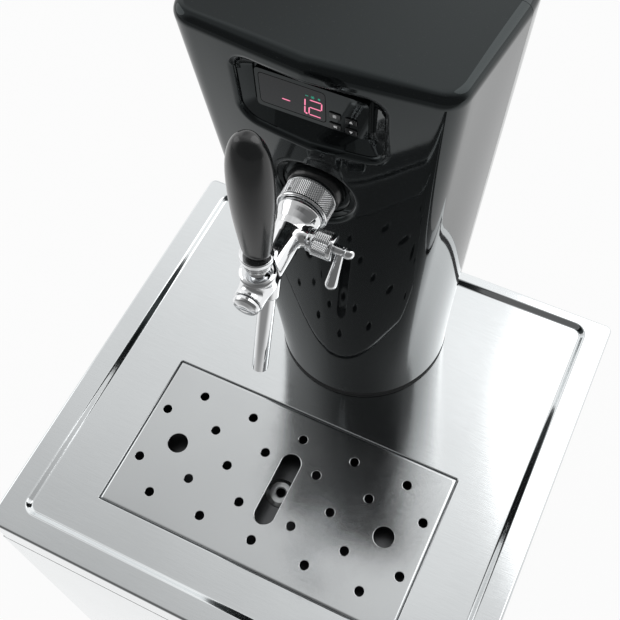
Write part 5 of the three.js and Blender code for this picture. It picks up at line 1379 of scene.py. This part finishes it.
piece("kegBody", vesselMesh(kegSizes, 4), "keg")
finished("kegCoupler", "keg_coupler", 0.8, 3)
finished("dipTube", "dip_tube", 0.3)
piece("gasBottle", vesselMesh(bottleSizes, 6), "gas_bottle")
finished("regulatorBody", "regulator", 0.9, 3)
finished("regulatorKnob", "regulator_knob", 0.7, 3, 40)
for label, hose in hoseSizes.items():
    piece(label + "Line", meshOf(*tube(hose["route"], hose["radius"], 24, hose["steps"]), 60), label + "_line")
print("keg and gas: done")

# Cabinet and door: name, node, width of the broken edge and steps in it
cabinetRows = [("cabinetShell", "cabinet_shell", 0.3, 2), ("cabinetInsulation", "insulation", 0),
               ("cabinetLiner", "cabinet_liner", 0.6, 3)]
doorRows = [("doorPanel", "door_panel", 1.1, 4), ("doorCore", "door_core", 0), ("doorLiner", "door_liner", 0.9, 4),
            ("doorGasket", "door_gasket", 1.2, 3), ("doorGrip", "door_grip", 0.7, 3),
            ("hingeTop", "hinge_top", 0.6, 3), ("hingeBottom", "hinge_bottom", 0.6, 3)]
for row in cabinetRows:
    finished(*row)

grilleSizes = {"slots": 9, "low": 44, "step": 14, "height": 5, "left": -140, "right": -10,
               "inletLap": 2.7, "edge": 0.4}


# The rear plate from a grid of cells: the cells of the slots and of the power inlet are left open
def grilleMesh():
    s = grilleSizes
    (low, high), (inner, outer) = boxOf("rear_grille"), boxOf("power_inlet")
    gapX, gapZ = ((inner[k] + s["inletLap"], outer[k] - s["inletLap"]) for k in (0, 2))
    middles = [s["low"] + (i + 0.5) * s["step"] for i in range(s["slots"])]
    slots = [(z - s["height"] / 2, z + s["height"] / 2) for z in middles]
    xs = sorted([low[0], s["left"], s["right"], *gapX, high[0]])
    zs = sorted([low[2], high[2], *gapZ, *(z for slot in slots for z in slot)])
    solid = np.ones((len(xs) - 1, len(zs) - 1), bool)
    for i, x in enumerate((a + b) / 2 for a, b in zip(xs, xs[1:])):
        for j, z in enumerate((a + b) / 2 for a, b in zip(zs, zs[1:])):
            inSlot = s["left"] < x < s["right"] and any(a < z < b for a, b in slots)
            solid[i, j] = not (inSlot or (gapX[0] < x < gapX[1] and gapZ[0] < z < gapZ[1]))
    count = len(zs)
    points = [(x, y, z) for y in (low[1], high[1]) for x in xs for z in zs]
    shift = len(xs) * count
    faces = []
    for i, j in zip(*np.nonzero(solid)):
        a, b, c, d = i * count + j, (i + 1) * count + j, (i + 1) * count + j + 1, i * count + j + 1
        faces += [(a, b, c, d), (a + shift, d + shift, c + shift, b + shift)]
        for di, dj, p, q in ((0, -1, a, b), (1, 0, b, c), (0, 1, c, d), (-1, 0, d, a)):
            u, v = i + di, j + dj
            if not (0 <= u < solid.shape[0] and 0 <= v < solid.shape[1] and solid[u, v]):
                faces.append((p, p + shift, q + shift, q))
    return softened(meshOf(points, faces), s["edge"], 2)


piece("rearGrille", grilleMesh(), "rear_grille")
finished("powerInlet", "power_inlet", 0.5, 3)
finished("switchRocker", "switch_rocker", 0.7, 3)

footSizes = {"radius": 16, "topRadius": 13, "height": 19.7, "sides": 72}


def footMesh(node):
    r, t, h = (footSizes[key] for key in ("radius", "topRadius", "height"))
    x, y, _ = sum(boxOf(node)) / 2
    return latheMesh(filleted([
        (0, 1), (r - 6, 1, 0.6), (r - 5, 0, 0.6), (r - 0.6, 0, 0.8), (r, 2, 1.5), (t + 0.4, h - 2, 0.6),
        (t - 0.8, h - 1.2, 0.3), (t - 0.8, h), (0, h),
    ], 4), footSizes["sides"], "z", (x, y, 0))


for number in (1, 2, 3, 4):
    piece(f"foot{number}", footMesh(f"foot_{number}"), f"foot_{number}")
for row in doorRows:
    finished(*row)
print("cabinet and door: done")

# Cooling: compressor, condenser with its fins, fan, evaporator plate
bayFloor = boxOf("compressor")[0][2]
compressorSizes = {"spot": (-100, 134), "radius": 48, "height": 108, "seam": 3, "sides": 96,
                   "base": (120, 84, 4), "corner": 10, "edge": 0.6}


# A block with round corners and a broken rim, standing on a spot
def slab(width, depth, height, radius, spot, edge):
    flat = np.array(roundRect(width, depth, radius))
    size = np.abs(flat).max(0)
    levels = ((0, edge), (edge, 0), (height - edge, 0), (height, edge))
    return meshOf(*skin([lying(flat * (size - inset) / size + spot[:2], spot[2] + level) for level, inset in levels]))


def compressorMesh():
    s = compressorSizes
    r, h, seam = s["radius"], s["height"], s["seam"]
    spot = (*s["spot"], bayFloor)
    pot = latheMesh(filleted([
        (0, 4.05), (r * 0.72, 4.05, 4), (r, r / 3, 14), (r, h / 2), (r + seam, h / 2, 0.8),
        (r + seam, h / 2 + seam, 0.8), (r, h / 2 + seam), (r, h - r / 3, 14), (r * 0.72, h - 8, 16), (r / 3, h, 10),
        (0, h),
    ], 8), s["sides"], "z", spot)
    return joined(pot, slab(*s["base"], s["corner"], spot, s["edge"]))


piece("compressorPot", compressorMesh(), "compressor")

finSizes = {"Fins": 40, "Pitch": 2.985 * mm, "Width": 104 * mm, "Depth": 26 * mm, "Thick": 0.5 * mm}
condenserSizes = {
    "spot": (80, 155, 96), "height": 120, "runs": 6, "pitch": 20, "reach": 48, "bend": 7.6, "pipe": 4,
    "plateX": 52, "plate": (1.5, 26), "stand": (120, 12), "standGap": 0.3,
}


def finTree():
    wire, size = startTree("fins", {**finSizes, "Finish": ""})
    fin = wire.add("GeometryNodeMeshCube", None, {"Size": wire.xyz(size["Width"], size["Depth"], size["Thick"])})
    line = wire.add("GeometryNodeMeshLine", None, {"Count": size["Fins"], "Offset": wire.xyz(z=size["Pitch"])})
    fins = wire.add("GeometryNodeInstanceOnPoints", None, {"Points": line, "Instance": fin})
    return endTree(wire, fins, size["Finish"])


def condenserMesh():
    s = condenserSizes
    x, y, z = s["spot"]
    fins = evaluated(finTree(), {**finSizes, "Finish": finishes["aluminium"]})
    first = place((x, y, z)) - np.array([0, 0, finSizes["Pitch"] * (finSizes["Fins"] - 1) / 2])
    fins.transform(Matrix.Translation(Vector(first)))
    path = []
    for run in range(s["runs"]):
        level = z + (run - (s["runs"] - 1) / 2) * s["pitch"]
        side = 1 if run % 2 == 0 else -1
        path += [(x - side * s["reach"], y, level), (x, y, level), (x + side * s["reach"], y, level)]
        if run < s["runs"] - 1:
            path += [(x + side * (s["reach"] + s["bend"] * math.cos(a)), y,
                      level + s["pitch"] / 2 * (1 + math.sin(a))) for a in np.linspace(-quarter, quarter, 7)[1:-1]]
    pipe = meshOf(*tube(path, s["pipe"], 16, 3), 60)
    low = z - s["height"] / 2
    plates = [slab(*s["plate"], s["height"], 0.5, (x + side * s["plateX"], y, low), 0.2) for side in (-1, 1)]
    stand = slab(*s["stand"], low - bayFloor - s["standGap"], 1, (x, y, bayFloor), 0.4)
    mesh = joined(fins, pipe, *plates, stand)
    mesh.materials.clear()
    return mesh


piece("condenserCoil", condenserMesh(), "condenser")
finished("fanHousing", "fan_housing", 0.8, 3)
finished("fanRotor", "fan_rotor", 0.35, 2, 40)
finished("evaporatorPlate", "evaporator", 1.2, 4)

# Cross-head screws in rows and columns, on the face that looks to the back
screwSizes = {"Head": 3.1 * mm, "Rise": 1.2 * mm, "Slot": 0.8 * mm, "Across": 326 * mm, "Up": 136 * mm,
              "Columns": 2, "Rows": 2}
screwSpot = (0, 196.2, 107)


def screwTree():
    wire, size = startTree("screws", {**screwSizes, "Finish": ""})
    head = wire.add("GeometryNodeMeshCone", None, {
        "Vertices": 32, "Radius Top": size["Head"] * 0.8, "Radius Bottom": size["Head"], "Depth": size["Rise"]})
    long, deep = size["Head"] * 1.2, size["Rise"] * 1.2
    lift = wire.xyz(z=size["Rise"])
    for first, second in ((long, size["Slot"]), (size["Slot"], long)):
        cube = wire.add("GeometryNodeMeshCube", None, {"Size": wire.xyz(first, second, deep)})
        bit = wire.add("GeometryNodeTransform", None, {"Geometry": cube, "Translation": lift})
        head = wire.add("GeometryNodeMeshBoolean", {"operation": "DIFFERENCE", "solver": "EXACT"},
                        {"Mesh 1": head, "Mesh 2": bit})
    grid = wire.add("GeometryNodeMeshGrid", None, {
        "Size X": size["Across"], "Size Y": size["Up"], "Vertices X": size["Columns"], "Vertices Y": size["Rows"]})
    screws = wire.add("GeometryNodeInstanceOnPoints", None, {"Points": grid, "Instance": head})
    return endTree(wire, screws, size["Finish"])


def screwMesh():
    mesh = evaluated(screwTree(), {**screwSizes, "Finish": finishes["satin_steel"]})
    mesh.transform(Matrix.Translation(Vector(place(screwSpot))) @ Matrix.Rotation(-quarter, 4, "X"))
    return settle(mesh, 30)


detail("grilleScrews", screwMesh(), bodyOf["rear_grille"], "satin_steel", finishes["satin_steel"])
print("cooling: done")

# Floor, lamps and background
studio = {
    "floorHalf": 4500, "floorShade": (0.9, 0.9, 0.9), "floorGlow": 0.93, "frontFloor": (-1.2, -0.2, 0.25, 1.0),
    "ambient": 0.5, "sky": (0.0, 0.55, 0.62, 1.15), "dark": 0.14, "darkSide": (0.4, -0.917), "darkFrom": (0.0, 0.5),
    "left": {"dim": 0.14, "side": (0.05, 0.35), "height": (0.6, 0.85)},
    "corner": {"dim": 0.45, "side": (0.18, 0.42), "sideEnd": (0.5, 0.62), "height": (0.2, 0.4),
               "heightEnd": (0.64, 0.78)},
    "shade": (0.1, -0.25, 0.963), "shadeFrom": (0.9, 0.97), "shadeDepth": 0.2,
    "lamps": {
        "key": {"spot": (800, 1000, 1900), "aim": (0, 0, 440), "size": 1700, "power": 8},
        "fill": {"spot": (-1500, -200, 1300), "aim": (0, 0, 500), "size": 1300, "power": 4},
    },
}


def makeFloor():
    s = studio
    mesh = bpy.data.meshes.new("floor")
    corners = [(x * s["floorHalf"], y * s["floorHalf"], 0) for x, y in ((-1, -1), (1, -1), (1, 1), (-1, 1))]
    mesh.from_pydata(place(corners).tolist(), [], [(0, 1, 2, 3)])
    material, wire = startFinish("floor")
    shade = noise(wire, 0.8, 2).between(0.3, 0.7).tint(faded(s["floorShade"], 0.98), s["floorShade"])
    setShader(wire, base=shade, rough=0.7, specular=0.2)
    rays = wire.add("ShaderNodeLightPath")
    seen = wire.maths("MINIMUM", rays + rays.other("Is Glossy Ray") + rays.other("Is Transmission Ray"), 1.0)
    _, ahead, _ = wire.add("ShaderNodeTexCoord", output="Object").split()
    mirrorGlow = ahead.between(*s["frontFloor"]) * (1 - rays) + rays
    glow = wire.add("ShaderNodeEmission", None, {"Color": (1, 1, 1, 1), "Strength": mirrorGlow})
    plain = Wire(wire.tree, wire.tree.nodes["Principled BSDF"].outputs[0])
    mixed = wire.add("ShaderNodeMixShader", None, {0: seen * s["floorGlow"], 1: plain, 2: glow})
    wire.tree.links.new(mixed.socket, wire.tree.nodes["Material Output"].inputs[0])
    mesh.materials.append(material)
    linked("floor", mesh)


def makeWorld():
    s = studio
    world = bpy.data.worlds.new("studio")
    world.use_nodes = True
    tree = world.node_tree
    wire = Wire(tree)
    x, y, z = wire.add("ShaderNodeTexCoord", output="Generated").split()
    front = (x * s["darkSide"][0] + y * s["darkSide"][1]).between(*s["darkFrom"])
    left = (x * -1).between(*s["left"]["side"]) * z.between(*s["left"]["height"]) * s["left"]["dim"]
    corner = s["corner"]
    dimmed = (x * -1).between(*corner["side"]) * z.between(*corner["height"]) * (1 - z.between(*corner["heightEnd"]))
    dimmed = dimmed * (1 - (x * -1).between(*corner["sideEnd"]))
    toward = x * s["shade"][0] + y * s["shade"][1] + z * s["shade"][2]
    above = toward.between(*s["shadeFrom"]) * s["shadeDepth"]
    sky = y.between(*s["sky"]) * (1 - left) * (1 - dimmed * corner["dim"])
    rays = wire.add("ShaderNodeLightPath")
    mirror = wire.maths("MINIMUM", rays.other("Is Glossy Ray") + rays.other("Is Transmission Ray"), 1.0)
    level = rays + mirror * (sky - front * (sky - s["dark"])) * (1 - above)
    seen = wire.maths("MINIMUM", rays + mirror, 1.0)
    background = tree.nodes["Background"]
    plug(tree, background.inputs["Color"], (1, 1, 1, 1))
    plug(tree, background.inputs["Strength"], level + (1 - seen) * s["ambient"])
    bpy.context.scene.world = world


def makeLamps():
    for name, lamp in studio["lamps"].items():
        data = bpy.data.lights.new(name, "AREA")
        data.shape, data.size, data.energy = "DISK", lamp["size"] * mm, lamp["power"]
        here, aim = Vector(place(lamp["spot"])), Vector(place(lamp["aim"]))
        turn = (aim - here).to_track_quat("-Z", "Y").to_matrix().to_4x4()
        linked(name, data).matrix_world = Matrix.Translation(here) @ turn


makeFloor()
makeWorld()
makeLamps()
bpy.context.scene.view_settings.view_transform = "Standard"
print("studio: done")
